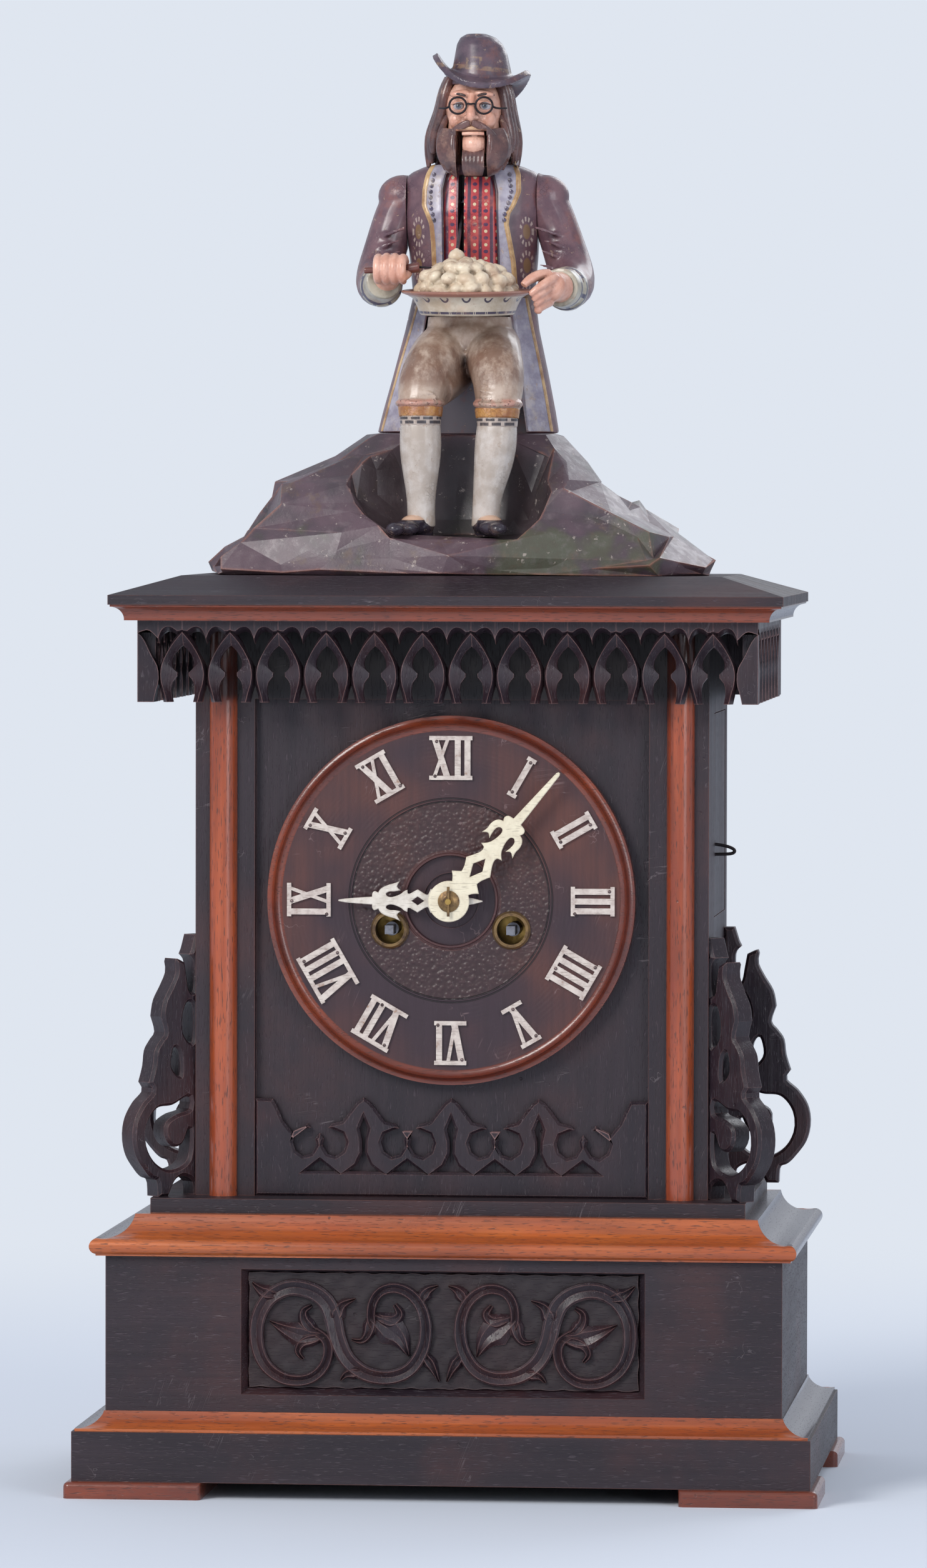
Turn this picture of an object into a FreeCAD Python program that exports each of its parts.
import FreeCAD, Part
import math
import os

import Sketcher

# Automaton clock: a dark wooden case on a moulded base, a turned dial with bone numerals and hands,
# a two train spring movement, and on the rock above it a seated figure that eats from a plate.
# The origin is the middle of the base on the table. The dial faces -Y, X is to the right, Z is up.
# All lengths are in millimetres.

SIZES = [
    # base, from the table up; an inset is measured inwards from the plinth's edge
    ("plinth_width", 422.0),
    ("plinth_depth", 275.0),
    ("foot_height", 9.5),
    ("foot_length", 79.0),
    ("foot_proud", 4.3),
    ("foot_round", 3.0),
    ("plinth_height", 28.5),
    ("plinth_wall", 24.0),
    ("base_inset", 17.3),
    ("base_height", 99.5),
    ("base_wall", 12.0),
    ("plinth_moulding_height", 10.5),
    ("plinth_moulding_lip", 1.6),
    ("base_panel_width", 231.0),
    ("base_panel_height", 71.6),
    ("base_panel_rise", 20.6),
    ("base_panel_recess", 7.0),
    ("base_panel_bevel", 4.0),
    ("scroll_radius", 25.5),
    ("scroll_width", 7.0),
    ("scroll_proud", 4.5),
    ("base_moulding_height", 22.5),
    ("base_moulding_inset", 32.3),
    ("base_bead_inset", 8.8),
    ("base_bead_size", 9.0),
    ("seat_inset", 40.0),
    ("seat_thick", 8.5),
    # body of the case
    ("body_inset", 63.0),
    ("body_height", 331.5),
    ("body_wall", 10.0),
    ("front_thick", 12.0),
    ("opening_width", 227.2),
    ("opening_height", 286.0),
    ("panel_recess", 6.0),
    ("panel_thick", 8.0),
    ("column_radius", 8.0),
    ("column_inset", 16.2),
    ("fret_height", 57.0),
    ("fret_sill", 14.0),
    ("back_thick", 10.0),
    ("back_rail", 30.0),
    ("door_gap", 0.5),
    ("door_pin_radius", 1.2),
    ("door_pin_length", 6.0),
    ("pin_fit", 0.05),
    ("knob_radius", 6.0),
    ("knob_length", 14.0),
    ("side_door_width", 92.0),
    ("side_door_height", 118.0),
    ("side_door_rise", 160.0),
    ("side_door_front", 43.0),
    ("pull_span", 8.5),
    ("pull_reach", 12.0),
    ("pull_wire", 1.0),
    ("pull_rise", 35.0),
    ("bracket_reach", 51.0),
    ("bracket_height", 150.0),
    ("bracket_thick", 14.0),
    # head of the case
    ("frieze_inset", 33.1),
    ("frieze_height", 46.0),
    ("frieze_thick", 8.0),
    ("bay_pitch", 27.65),
    ("cornice_height", 9.0),
    ("cornice_inset", 26.4),
    ("cornice_lip_inset", 19.2),
    ("top_inset", 18.1),
    ("top_edge", 5.5),
    ("top_slope_height", 11.0),
    ("top_slope_inset", 55.6),
    # dial
    ("dial_rise", 171.0),
    ("dial_radius", 97.5),
    ("dial_thick", 9.5),
    ("bead_width", 8.5),
    ("bead_proud", 4.0),
    ("lip_radius", 27.5),
    ("lip_width", 2.0),
    ("lip_proud", 1.5),
    ("recess_depth", 3.0),
    ("numeral_reach", 94.4),
    ("numeral_height", 25.2),
    ("numeral_thick", 1.6),
    ("numeral_stroke", 3.4),
    ("numeral_serif", 2.4),
    ("collar_radius", 11.0),
    ("collar_bore", 8.3),
    ("collar_neck", 9.2),
    ("collar_proud", 2.2),
    ("minute_hand_length", 97.5),
    ("hour_hand_length", 64.6),
    ("hour_tail_length", 19.0),
    ("hand_boss_radius", 11.9),
    ("hand_thick", 1.6),
    ("hour_hand_stand", 6.4),
    ("minute_hand_stand", 10.4),
    ("minute_hand_angle", 40.6),
    ("hour_hand_angle", 270.0),
    ("washer_radius", 6.2),
    ("washer_thick", 0.8),
    ("taper_pin_radius", 0.8),
    ("taper_pin_length", 17.0),
    # movement
    ("plate_width", 118.0),
    ("plate_height", 128.0),
    ("plate_drop", 62.0),
    ("plate_thick", 2.0),
    ("plate_gap", 44.0),
    ("plate_stand", 9.0),
    ("pillar_radius", 4.0),
    ("pillar_neck", 2.6),
    ("pillar_inset", 8.0),
    ("arbor_spread", 35.0),
    ("arbor_drop", 16.8),
    ("barrel_radius", 28.0),
    ("barrel_length", 22.0),
    ("barrel_wall", 1.5),
    ("winding_arbor_radius", 4.0),
    ("winding_square", 5.0),
    ("winding_stand", 5.0),
    ("great_wheel_thick", 2.5),
    ("wheel_thick", 1.4),
    ("arbor_radius", 1.5),
    ("pivot_radius", 0.9),
    ("centre_arbor_radius", 2.2),
    ("hour_pipe_radius", 4.0),
    ("centre_module", 0.70),
    ("third_module", 0.60),
    ("motion_drop", 14.4),
    ("escape_radius", 11.0),
    ("pallet_rise", 16.2),
    ("tooth_play_share", 0.14),
    ("pendulum_length", 203.0),
    ("pendulum_rod_radius", 1.2),
    ("bob_radius", 16.0),
    ("bob_thick", 7.0),
    ("gong_height", 150.0),
    ("gong_radius", 2.0),
    ("hammer_head_radius", 5.0),
    ("hammer_head_length", 13.0),
    ("wire_width", 0.9),
    # rock and figure
    ("rock_width", 302.0),
    ("rock_depth", 155.0),
    ("rock_height", 82.0),
    ("hollow_floor", 22.5),
    ("figure_shift", 5.5),
    ("coat_skirt_width", 107.0),
    ("coat_height", 157.0),
    ("coat_shift", 1.5),
    ("arm_plane", 36.5),
    ("arm_gap", 0.5),
    ("slot_shift", 7.2),
    ("lever_hub_room", 10.0),
    ("slot_width", 3.6),
    ("jaw_width", 10.8),
    ("jaw_pivot_rise", 176.5),
    ("jaw_pivot_back", 6.0),
    ("jaw_pin_radius", 1.5),
    ("shoulder_rise", 140.5),
    ("shoulder_back", 14.0),
    ("lever_pivot_rise", 134.5),
    ("lever_pivot_back", 10.0),
    ("lever_reach", 57.0),
    ("lever_thick", 1.4),
    ("lever_rest_angle", 215.0),
    ("dumpling_radius", 5.0),
    ("axle_radius", 2.0),
    ("crank_length", 11.5),
    ("crank_rest_angle", 30.0),
    ("lift_rod_radius", 1.5),
    ("lift_rod_shift", 19.5),
    ("plate_rim_radius", 38.0),
    ("plate_base_radius", 27.0),
    ("plate_depth", 14.5),
    ("plate_rise", 68.0),
    ("plate_forward", 46.0),
    ("pile_radius", 29.0),
    ("pile_height", 19.6),
    # fits and finishing cuts
    ("hand_clearance", 0.3),
    ("overrun", 1.0),
]

GREAT_TEETH = 72
CENTRE_PINION_LEAVES = 12
CENTRE_TEETH = 72
TRAIN_PINION_LEAVES = 6
THIRD_TEETH = 66
ESCAPE_TEETH = 30
CANNON_LEAVES = 12
MINUTE_TEETH = 36
MINUTE_PINION_LEAVES = 10
HOUR_TEETH = 40


class Amount:
    """A size with its number and the expression that ties it to the sheet."""

    def __init__(self, number, text):
        self.number = float(number)
        self.text = text

    def __float__(self):
        return self.number

    def __neg__(self):
        return joined(0, "-", self)

    def __add__(self, other):
        return joined(self, "+", other)

    def __radd__(self, other):
        return joined(other, "+", self)

    def __sub__(self, other):
        return joined(self, "-", other)

    def __rsub__(self, other):
        return joined(other, "-", self)

    def __mul__(self, other):
        return joined(self, "*", other)

    def __rmul__(self, other):
        return joined(other, "*", self)

    def __truediv__(self, other):
        return joined(self, "/", other)


def as_amount(value):
    if isinstance(value, Amount):
        return value
    if value < 0:
        return Amount(value, f"(0 - {-value:.9g})")
    return Amount(value, f"{value:.9g}")


def joined(left, sign, right):
    first = as_amount(left)
    second = as_amount(right)
    if sign == "+":
        number = first.number + second.number
    elif sign == "-":
        number = first.number - second.number
    elif sign == "*":
        number = first.number * second.number
    else:
        number = first.number / second.number
    return Amount(number, f"({first.text} {sign} {second.text})")


class Sizes:
    """The driving sizes, read as size.plinth_width and so on."""


doc = FreeCAD.newDocument("automaton_clock")
sheet = doc.addObject("Spreadsheet::Sheet", "Sizes")
size = Sizes()
for row, (alias, number) in enumerate(SIZES, start=1):
    sheet.set(f"A{row}", alias)
    sheet.set(f"B{row}", f"{number:g}")
    sheet.setAlias(f"B{row}", alias)
    setattr(size, alias, Amount(number, f"Sizes.{alias}"))
doc.recompute()

# the outer views of each tier, worked out from the table up
plinth_top = size.foot_height + size.plinth_height
base_top = plinth_top + size.base_height
base_moulding_top = base_top + size.base_moulding_height
seat_top = base_moulding_top + size.seat_thick
body_top = seat_top + size.body_height
frieze_bottom = body_top - size.frieze_height
cornice_top = body_top + size.cornice_height
top_edge_top = cornice_top + size.top_edge
rock_bottom = top_edge_top + size.top_slope_height
rock_top = rock_bottom + size.rock_height

half_width = size.plinth_width / 2
half_depth = size.plinth_depth / 2
body_side = half_width - size.body_inset
body_front = half_depth - size.body_inset
panel_front = size.panel_recess - body_front
panel_back = panel_front + size.panel_thick
dial_face = panel_front - size.dial_thick
dial_z = seat_top + size.dial_rise
front_plate_y = panel_back + size.plate_stand
train_y = front_plate_y + size.plate_thick
back_plate_y = train_y + size.plate_gap
train_end = back_plate_y + size.plate_thick

sub_parts = []


def bind(thing, **sizes):
    """Sets each property and ties it to its expression."""
    for name, value in sizes.items():
        amount = as_amount(value)
        setattr(thing, name, amount.number)
        thing.setExpression(name, amount.text)


def place(thing, x=0, y=0, z=0, axis=None, angle=0):
    """Moves a thing to a bound place, turned by a plain angle about an axis."""
    spot = [as_amount(x), as_amount(y), as_amount(z)]
    turn = FreeCAD.Rotation(FreeCAD.Vector(*(axis or (0, 0, 1))), angle)
    thing.Placement = FreeCAD.Placement(FreeCAD.Vector(*[float(s) for s in spot]), turn)
    for letter, amount in zip("xyz", spot):
        if "Sizes" in amount.text:
            thing.setExpression(f"Placement.Base.{letter}", amount.text)
    return thing


def keep(thing, label):
    """Marks a finished sub-part, which is written under its label."""
    thing.Label = label
    sub_parts.append(thing)
    return thing


def block(name, x, y, z):
    """A box between the two amounts given for each direction."""
    box = doc.addObject("Part::Box", name)
    bind(box, Length=x[1] - x[0], Width=y[1] - y[0], Height=z[1] - z[0])
    return place(box, x[0], y[0], z[0])


ALONG = {"x": ((0, 1, 0), 90), "y": ((1, 0, 0), -90), "z": ((0, 0, 1), 0)}


def rod(name, radius, length, x, y, z, along="z"):
    """A round bar that starts at a place and runs along +X, +Y or +Z."""
    bar = doc.addObject("Part::Cylinder", name)
    bind(bar, Radius=radius, Height=length)
    axis, angle = ALONG[along]
    return place(bar, x, y, z, axis, angle)


def ball(name, radius, x, y, z):
    sphere = doc.addObject("Part::Sphere", name)
    bind(sphere, Radius=radius)
    return place(sphere, x, y, z)


def fused(name, *pieces):
    whole = doc.addObject("Part::MultiFuse", name)
    whole.Shapes = list(pieces)
    return whole


def cut(name, base, *tools):
    result = doc.addObject("Part::Cut", name)
    result.Base = base
    result.Tool = tools[0] if len(tools) == 1 else fused(name + "_tools", *tools)
    return result


def common(name, first, second):
    result = doc.addObject("Part::Common", name)
    result.Base = first
    result.Tool = second
    return result


def group(name, *pieces):
    """Separate solids that share one node."""
    whole = doc.addObject("Part::Compound", name)
    whole.Links = list(pieces)
    return whole


def mirrored(name, source, normal):
    twin = doc.addObject("Part::Mirroring", name)
    twin.Source = source
    twin.Base = (0, 0, 0)
    twin.Normal = normal
    return twin


def feature(name, shape):
    """A shape that is worked out by this source's own functions."""
    thing = doc.addObject("Part::Feature", name)
    thing.Shape = shape
    return thing


def rounded(name, base, radius, picks):
    """Fillets the edges of a thing that a test picks."""
    doc.recompute()
    fillet = doc.addObject("Part::Fillet", name)
    fillet.Base = base
    edges = [i + 1 for i, edge in enumerate(base.Shape.Edges) if picks(edge)]
    fillet.Edges = [(i, float(radius), float(radius)) for i in edges]
    return fillet


PLANE_AXES = {"front": ((1, 0, 0), (0, 0, 1), (0, 1, 0)), "side": ((0, 1, 0), (0, 0, 1), (1, 0, 0))}


def sawn(name, plane, loops, start, thick):
    """A board sawn to a long outline: the first loop, less the loops inside it."""
    across, up, depth = [FreeCAD.Vector(*axis) for axis in PLANE_AXES[plane]]
    faces = []
    for loop in loops:
        points = [across * float(u) + up * float(v) + depth * float(start) for u, v in loop]
        faces.append(Part.Face(Part.makePolygon(points + points[:1])))
    flat = faces[0] if len(faces) == 1 else faces[0].cut(faces[1:])
    return feature(name, flat.extrude(depth * float(thick)))


def bow(start, end, rise, steps):
    """Points along a shallow arc from start to end that bulges to the left of the way."""
    (x0, y0), (x1, y1) = [(float(x), float(y)) for x, y in (start, end)]
    points = []
    for i in range(1, steps):
        share = i / steps
        lift = 4 * rise * share * (1 - share)
        points.append((x0 + (x1 - x0) * share - (y1 - y0) * lift, y0 + (y1 - y0) * share + (x1 - x0) * lift))
    return points


PLANE_ROLE = {"front": "XZ_Plane", "side": "YZ_Plane", "flat": "XY_Plane"}


def new_sketch(body, plane, name):
    sketch = body.newObject("Sketcher::SketchObject", name)
    role = PLANE_ROLE[plane]
    support = [f for f in body.Origin.OriginFeatures if f.Role == role][0]
    sketch.AttachmentSupport = [(support, "")]
    sketch.MapMode = "FlatFace"
    return sketch


def hold(sketch, kind, index, point, amount, name):
    """Holds one coordinate of a point at an amount of the sheet."""
    number = sketch.addConstraint(Sketcher.Constraint(kind, -1, 1, index, point, float(amount)))
    sketch.renameConstraint(number, name)
    if "Sizes" in amount.text:
        sketch.setExpression(f"Constraints.{name}", amount.text)


def arc_middle(start, end, radius, turn):
    """Halfway along a minor arc; turn is 1 where it bulges to the left of the way, -1 to the right."""
    chord = end - start
    half = chord.Length / 2
    reach = math.sqrt(max(radius * radius - half * half, 0))
    left = FreeCAD.Vector(-chord.y, chord.x, 0).normalize()
    centre = (start + end) / 2 - left * reach * turn
    return centre + left * radius * turn


def draw(sketch, loop, tag):
    """Draws one closed loop. A step is (x, y), or (x, y, radius, turn) for an arc that ends there."""
    if loop[0] == "circle":
        _, x, y, radius = loop
        x, y, radius = as_amount(x), as_amount(y), as_amount(radius)
        circle = Part.Circle(FreeCAD.Vector(float(x), float(y), 0), FreeCAD.Vector(0, 0, 1), float(radius))
        index = sketch.addGeometry(circle, False)
        hold(sketch, "DistanceX", index, 3, x, f"x{tag}")
        hold(sketch, "DistanceY", index, 3, y, f"y{tag}")
        number = sketch.addConstraint(Sketcher.Constraint("Radius", index, float(radius)))
        sketch.renameConstraint(number, f"r{tag}")
        sketch.setExpression(f"Constraints.r{tag}", radius.text)
        return
    points = [FreeCAD.Vector(float(step[0]), float(step[1]), 0) for step in loop]
    first = len(sketch.Geometry)
    ends = []
    for i, step in enumerate(loop):
        start = points[i - 1]
        end = points[i]
        if len(step) == 2:
            sketch.addGeometry(Part.LineSegment(start, end), False)
            ends.append((1, 2))
            continue
        middle = arc_middle(start, end, float(step[2]), step[3])
        leftward = (middle - start).cross(end - middle).z > 0
        sketch.addGeometry(Part.Arc(start, middle, end) if leftward else Part.Arc(end, middle, start), False)
        ends.append((1, 2) if leftward else (2, 1))
    for i, step in enumerate(loop):
        following = (i + 1) % len(loop)
        joint = Sketcher.Constraint("Coincident", first + i, ends[i][1], first + following, ends[following][0])
        sketch.addConstraint(joint)
        hold(sketch, "DistanceX", first + i, ends[i][1], as_amount(step[0]), f"x{tag}_{i}")
        hold(sketch, "DistanceY", first + i, ends[i][1], as_amount(step[1]), f"y{tag}_{i}")
        if len(step) == 4:
            number = sketch.addConstraint(Sketcher.Constraint("Radius", first + i, float(step[2])))
            sketch.renameConstraint(number, f"r{tag}_{i}")
            sketch.setExpression(f"Constraints.r{tag}_{i}", as_amount(step[2]).text)


def board(name, plane, loops, start, thick):
    """A flat piece cut to an outline. Its thickness runs from start along +X, +Y or +Z."""
    body = doc.addObject("PartDesign::Body", name)
    sketch = new_sketch(body, plane, name + "_outline")
    for tag, loop in enumerate(loops):
        draw(sketch, loop, tag)
    pad = body.newObject("PartDesign::Pad", name + "_pad")
    pad.Profile = sketch
    bind(pad, Length=thick)
    pad.Reversed = plane == "front"
    along = {"front": "y", "side": "x", "flat": "z"}[plane]
    return place(body, **{along: start})


def turned(name, loops, along="y", x=0, y=0, z=0):
    """A turned piece: loops of (place along the axis, radius), spun about the line through x, y, z."""
    body = doc.addObject("PartDesign::Body", name)
    sketch = new_sketch(body, "side" if along == "y" else "front", name + "_profile")
    for tag, loop in enumerate(loops):
        if along == "y":
            draw(sketch, loop, tag)
        else:
            draw(sketch, [(step[1], step[0]) + tuple(step[2:]) for step in loop], tag)
    spin = body.newObject("PartDesign::Revolution", name + "_spin")
    spin.Profile = sketch
    spin.ReferenceAxis = (sketch, ["H_Axis" if along == "y" else "V_Axis"])
    spin.Angle = 360
    return place(body, x, y, z)


def moulding(name, edge, inner_x, inner_y, bottom, top):
    """A mitred moulding: the common solid of its profile run both ways, with the inside cut out."""
    runs = []
    for plane, half, other in (("front", half_width, half_depth), ("side", half_depth, half_width)):
        right = [(half - step[0], step[1]) + tuple(step[2:]) for step in edge]
        left = mirrored_loop(right)
        runs.append(board(f"{name}_{plane}", plane, [right + left], -other, 2 * other))
    solid = common(name + "_solid", *runs)
    hole = block(
        name + "_hole",
        (-inner_x, inner_x),
        (-inner_y, inner_y),
        (bottom - size.overrun, top + size.overrun),
    )
    return cut(name, solid, hole)


def mirrored_loop(loop):
    """The same steps taken back along the mirrored side, with each arc kept on its own span."""
    back = []
    for i in range(len(loop) - 1, -1, -1):
        x, y = loop[i][0], loop[i][1]
        arc = tuple(loop[i + 1][2:]) if i + 1 < len(loop) else ()
        back.append((-x, y) + arc)
    return back


# Base


def make_feet():
    reach_x = half_width + size.foot_proud
    reach_y = half_depth + size.foot_proud
    pad = block(
        "foot_block",
        (reach_x - size.foot_length, reach_x),
        (reach_y - size.foot_length, reach_y),
        (as_amount(0), size.foot_height),
    )

    def outer(edge):
        box = edge.BoundBox
        on_side = box.XMin > float(reach_x) - 0.01 or box.YMin > float(reach_y) - 0.01
        return on_side and box.ZMin > 0 or (on_side and box.ZMax > 0.01 and box.ZLength > 1)

    soft = rounded("foot_round", pad, size.foot_round, outer)
    twin = mirrored("foot_left", soft, (1, 0, 0))
    front_right = mirrored("foot_front_right", soft, (0, 1, 0))
    front_left = mirrored("foot_front_left", twin, (0, 1, 0))
    keep(group("foot_pads", soft, twin, front_right, front_left), "feet")


def ring_of_boards(name, inset, wall, bottom, top):
    x = half_width - inset
    y = half_depth - inset
    outer = block(name + "_outer", (-x, x), (-y, y), (bottom, top))
    inner = block(
        name + "_inner",
        (wall - x, x - wall),
        (wall - y, y - wall),
        (bottom - size.overrun, top + size.overrun),
    )
    return cut(name + "_ring", outer, inner)


def make_plinth():
    none = as_amount(0)
    keep(ring_of_boards("plinth", none, size.plinth_wall, size.foot_height, plinth_top), "plinth_frame")
    top = plinth_top + size.plinth_moulding_height
    lip = size.plinth_moulding_lip
    fall = size.plinth_moulding_height - 2 * lip
    cove = size.base_inset - 2 * lip
    edge = [
        (lip, plinth_top),
        (lip, plinth_top + lip),
        (size.base_inset - lip + lip / 4, top - lip, (cove * cove + fall * fall) / (2 * fall) * 0.82, 1),
        (size.base_inset - lip / 2, top),
    ]
    inner_x = half_width - size.base_inset
    inner_y = half_depth - size.base_inset
    keep(moulding("plinth_cove", edge, inner_x, inner_y, plinth_top, top), "plinth_moulding")


def panel_span():
    low = plinth_top + size.base_panel_rise
    return low, low + size.base_panel_height


def make_base():
    ring = ring_of_boards("base", size.base_inset, size.base_wall, plinth_top, base_top)
    front = size.base_inset - half_depth
    low, high = panel_span()
    half = size.base_panel_width / 2
    bevel = size.base_panel_bevel
    window = doc.addObject("Part::Wedge", "base_window")
    bind(
        window,
        Xmin=-half,
        Xmax=half,
        X2min=bevel - half,
        X2max=half - bevel,
        Ymin=0,
        Ymax=size.base_panel_recess,
        Zmin=low,
        Zmax=high,
        Z2min=low + bevel,
        Z2max=high - bevel / 2,
    )
    place(window, 0, front, 0)
    through = block(
        "base_through",
        (bevel - half, half - bevel),
        (front + size.base_panel_recess, front + size.base_wall + size.overrun),
        (low + bevel, high - bevel / 2),
    )
    keep(cut("base_frame", ring, window, through), "base_box")
    panel = block(
        "base_panel_board",
        (bevel - half, half - bevel),
        (front + size.base_panel_recess, front + size.base_wall),
        (low + bevel, high - bevel / 2),
    )
    keep(fused("base_panel_solid", panel, *scroll_rings(front, low, high, half)), "base_panel")


def scroll_rings(front, low, high, half):
    """Four round scrolls in mirrored pairs, each an open ring with a leaf turned in."""
    radius = size.scroll_radius
    width = size.scroll_width
    back = front + size.base_panel_recess
    middle = (low + high) / 2 + size.base_panel_bevel / 4
    rings = []
    for i, share in enumerate((-0.735, -0.25, 0.25, 0.735)):
        centre = half * share
        ring = board(
            f"scroll_{i}",
            "front",
            [("circle", centre, middle, radius), ("circle", centre, middle, radius - width)],
            back - size.scroll_proud,
            size.scroll_proud,
        )
        inner = radius - width
        side = 1 if share > 0 else -1
        leaf = board(
            f"leaf_{i}",
            "front",
            [
                [
                    (centre + side * inner * 0.98, middle - inner * 0.3),
                    (centre - side * inner * 0.7, middle + inner * 0.25, inner * 1.3, side),
                    (centre + side * inner * 0.98, middle + inner * 0.1, inner * 1.3, side),
                ]
            ],
            back - size.scroll_proud,
            size.scroll_proud,
        )
        rings += [ring, leaf]
    return rings


def make_base_moulding():
    bead = size.base_bead_size
    lip = size.base_bead_inset
    start = base_top + bead / 10
    inset = size.base_moulding_inset
    shelf = lip + bead * 0.55
    fall = base_moulding_top - start - bead
    run = inset - shelf
    edge = [
        (lip + bead * 0.38, base_top),
        (lip + bead * 0.38, start),
        (lip + bead * 0.38, start + bead, bead * 0.52, -1),
        (shelf, start + bead),
        (inset, base_moulding_top, (run * run + fall * fall) / (2 * fall) * 0.78, 1),
    ]
    inner_x = body_side - size.body_wall
    inner_y = body_front - size.body_wall
    keep(moulding("base_cove", edge, inner_x, inner_y, base_top, base_moulding_top), "base_moulding")
    x = half_width - size.seat_inset
    y = half_depth - size.seat_inset
    keep(block("seat_slab", (-x, x), (-y, y), (base_moulding_top, seat_top)), "seat_board")


# Body of the case


def body_slab(name, x, y, z=None):
    low, high = z or (seat_top, body_top)
    return block(name, x, y, (low, high))


def make_sides():
    front = size.front_thick - body_front
    back = body_front - size.back_thick
    left = body_slab("left_wall", (-body_side, size.body_wall - body_side), (front, back))
    keep(left, "case_side_left")
    wall = body_slab("right_wall", (body_side - size.body_wall, body_side), (front, back))
    y0 = size.side_door_front - body_front
    y1 = y0 + size.side_door_width
    z0 = seat_top + size.side_door_rise
    z1 = z0 + size.side_door_height
    hole = block(
        "side_door_hole",
        (body_side - size.body_wall - size.overrun, body_side + size.overrun),
        (y0, y1),
        (z0, z1),
    )
    pin_y = y1 - size.body_wall / 2 - size.door_gap
    pin_x = body_side - size.body_wall / 2
    sockets = pin_pair("side_socket", pin_x, pin_y, z0, z1, size.door_pin_radius + size.pin_fit, size.overrun)
    keep(cut("right_side", wall, hole, *sockets), "case_side_right")
    gap = size.door_gap
    leaf = block(
        "side_leaf",
        (body_side - size.body_wall, body_side),
        (y0 + gap, pin_y),
        (z0 + gap, z1 - gap),
    )
    edge = rod("side_leaf_edge", size.body_wall / 2, z1 - z0 - 2 * gap, pin_x, pin_y, z0 + gap)
    pins = pin_pair("side_pin", pin_x, pin_y, z0, z1, size.door_pin_radius, as_amount(0))
    legs = pull_legs(y0)
    door = fused("side_leaf_whole", leaf, edge, *pins)
    keep(cut("side_door_solid", door, *[pull_bar(f"pull_hole_{i}", *leg) for i, leg in enumerate(legs)]), "side_door")
    make_pull(legs)


def pin_pair(name, x, y, low, high, radius, more):
    """The two pins of a door, or with more length the two sockets that take them."""
    length = size.door_pin_length
    gap = size.door_gap
    reach = length + gap + more
    return [
        rod(name + "_foot", radius, reach + gap, x, y, low - reach),
        rod(name + "_head", radius, reach + gap, x, y, high - gap),
    ]


def pull_legs(front):
    """Where the two legs of the wire staple stand, one above the other."""
    y = front + size.pull_span
    z = seat_top + size.side_door_rise + size.pull_rise
    return [(y, z), (y, z + size.pull_span)]


def pull_bar(name, y, z):
    depth = size.body_wall * 0.7
    return rod(name, size.pull_wire, size.pull_reach + depth, body_side - depth, y, z, "x")


def make_pull(legs):
    wire = size.pull_wire
    bars = [pull_bar(f"pull_leg_{i}", *leg) for i, leg in enumerate(legs)]
    x = body_side + size.pull_reach
    (y, low), (_, high) = legs
    bend = rod("pull_bend", wire, high - low + 2 * wire, x, y, low - wire)
    keep(fused("pull_staple", *bars, bend), "side_door_pull")


def make_front():
    half = size.opening_width / 2
    slab = body_slab("front_slab", (-body_side, body_side), (-body_front, size.front_thick - body_front))
    top = seat_top + size.opening_height
    window = block(
        "front_window",
        (-half, half),
        (-body_front - size.overrun, size.front_thick - body_front + size.overrun),
        (seat_top - size.overrun, top),
    )
    keep(cut("front_stiles", slab, window), "front_frame")
    columns = []
    for side in (-1, 1):
        centre = side * (body_side - size.column_inset)
        radius = size.column_radius
        profile = [(centre + radius, -body_front), (centre - radius, -body_front, radius * 1.0001, 1)]
        columns.append(board(f"column_{side}", "flat", [profile], seat_top, size.body_height))
    keep(group("half_columns", *columns), "columns")
    holes = [rod("panel_hole_centre", size.hour_pipe_radius + size.hand_clearance * 2, size.panel_thick * 3,
                 0, panel_front - size.panel_thick, dial_z, "y")]
    for side in (-1, 1):
        holes.append(rod(f"panel_hole_{side}", size.collar_neck, size.panel_thick * 3,
                         side * size.arbor_spread, panel_front - size.panel_thick,
                         dial_z - size.arbor_drop, "y"))
    panel = block("panel_board", (-half, half), (panel_front, panel_back), (seat_top, top))
    keep(cut("panel_bored", panel, *holes), "dial_panel")
    make_fret(half)


def make_fret(half):
    """The apron fret: two round lobes side by side in each bay, with a pointed peak between bays."""
    pitch = half * 0.444
    sill = seat_top + size.fret_sill
    peak = seat_top + size.fret_height
    lobe = pitch * 0.17
    low = sill + lobe * 0.4
    neck = low + lobe * 2.1
    shoulder = peak - size.fret_sill
    line = [(-half, seat_top), (half, seat_top), (half, peak - lobe), (half - pitch * 0.12, peak - lobe / 2)]
    for i in (1.5, 0.5, -0.5, -1.5):
        middle = pitch * i
        for side in (1, -1):
            outer = (middle + side * pitch * 0.30, neck)
            inner = (middle + side * pitch * 0.06, low + lobe * 0.9)
            bottom = (middle + side * pitch * 0.19, low)
            stem = [(middle + side * pitch * 0.40, shoulder), outer]
            lobes = bow(outer, bottom, 0.28 * side, 3) + [bottom] + bow(bottom, inner, 0.28 * side, 3) + [inner]
            steps = stem + lobes
            if side == 1:
                line += steps + [(middle, low + lobe * 1.7)]
            else:
                line += [(x, y) for x, y in reversed(steps)]
        if i > -1:
            line.append((middle - pitch / 2, peak))
    line += [(pitch * 0.12 - half, peak - lobe / 2), (-half, peak - lobe)]
    keep(sawn("fret_board", "front", [line], -body_front, size.panel_recess), "apron_fret")


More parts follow.
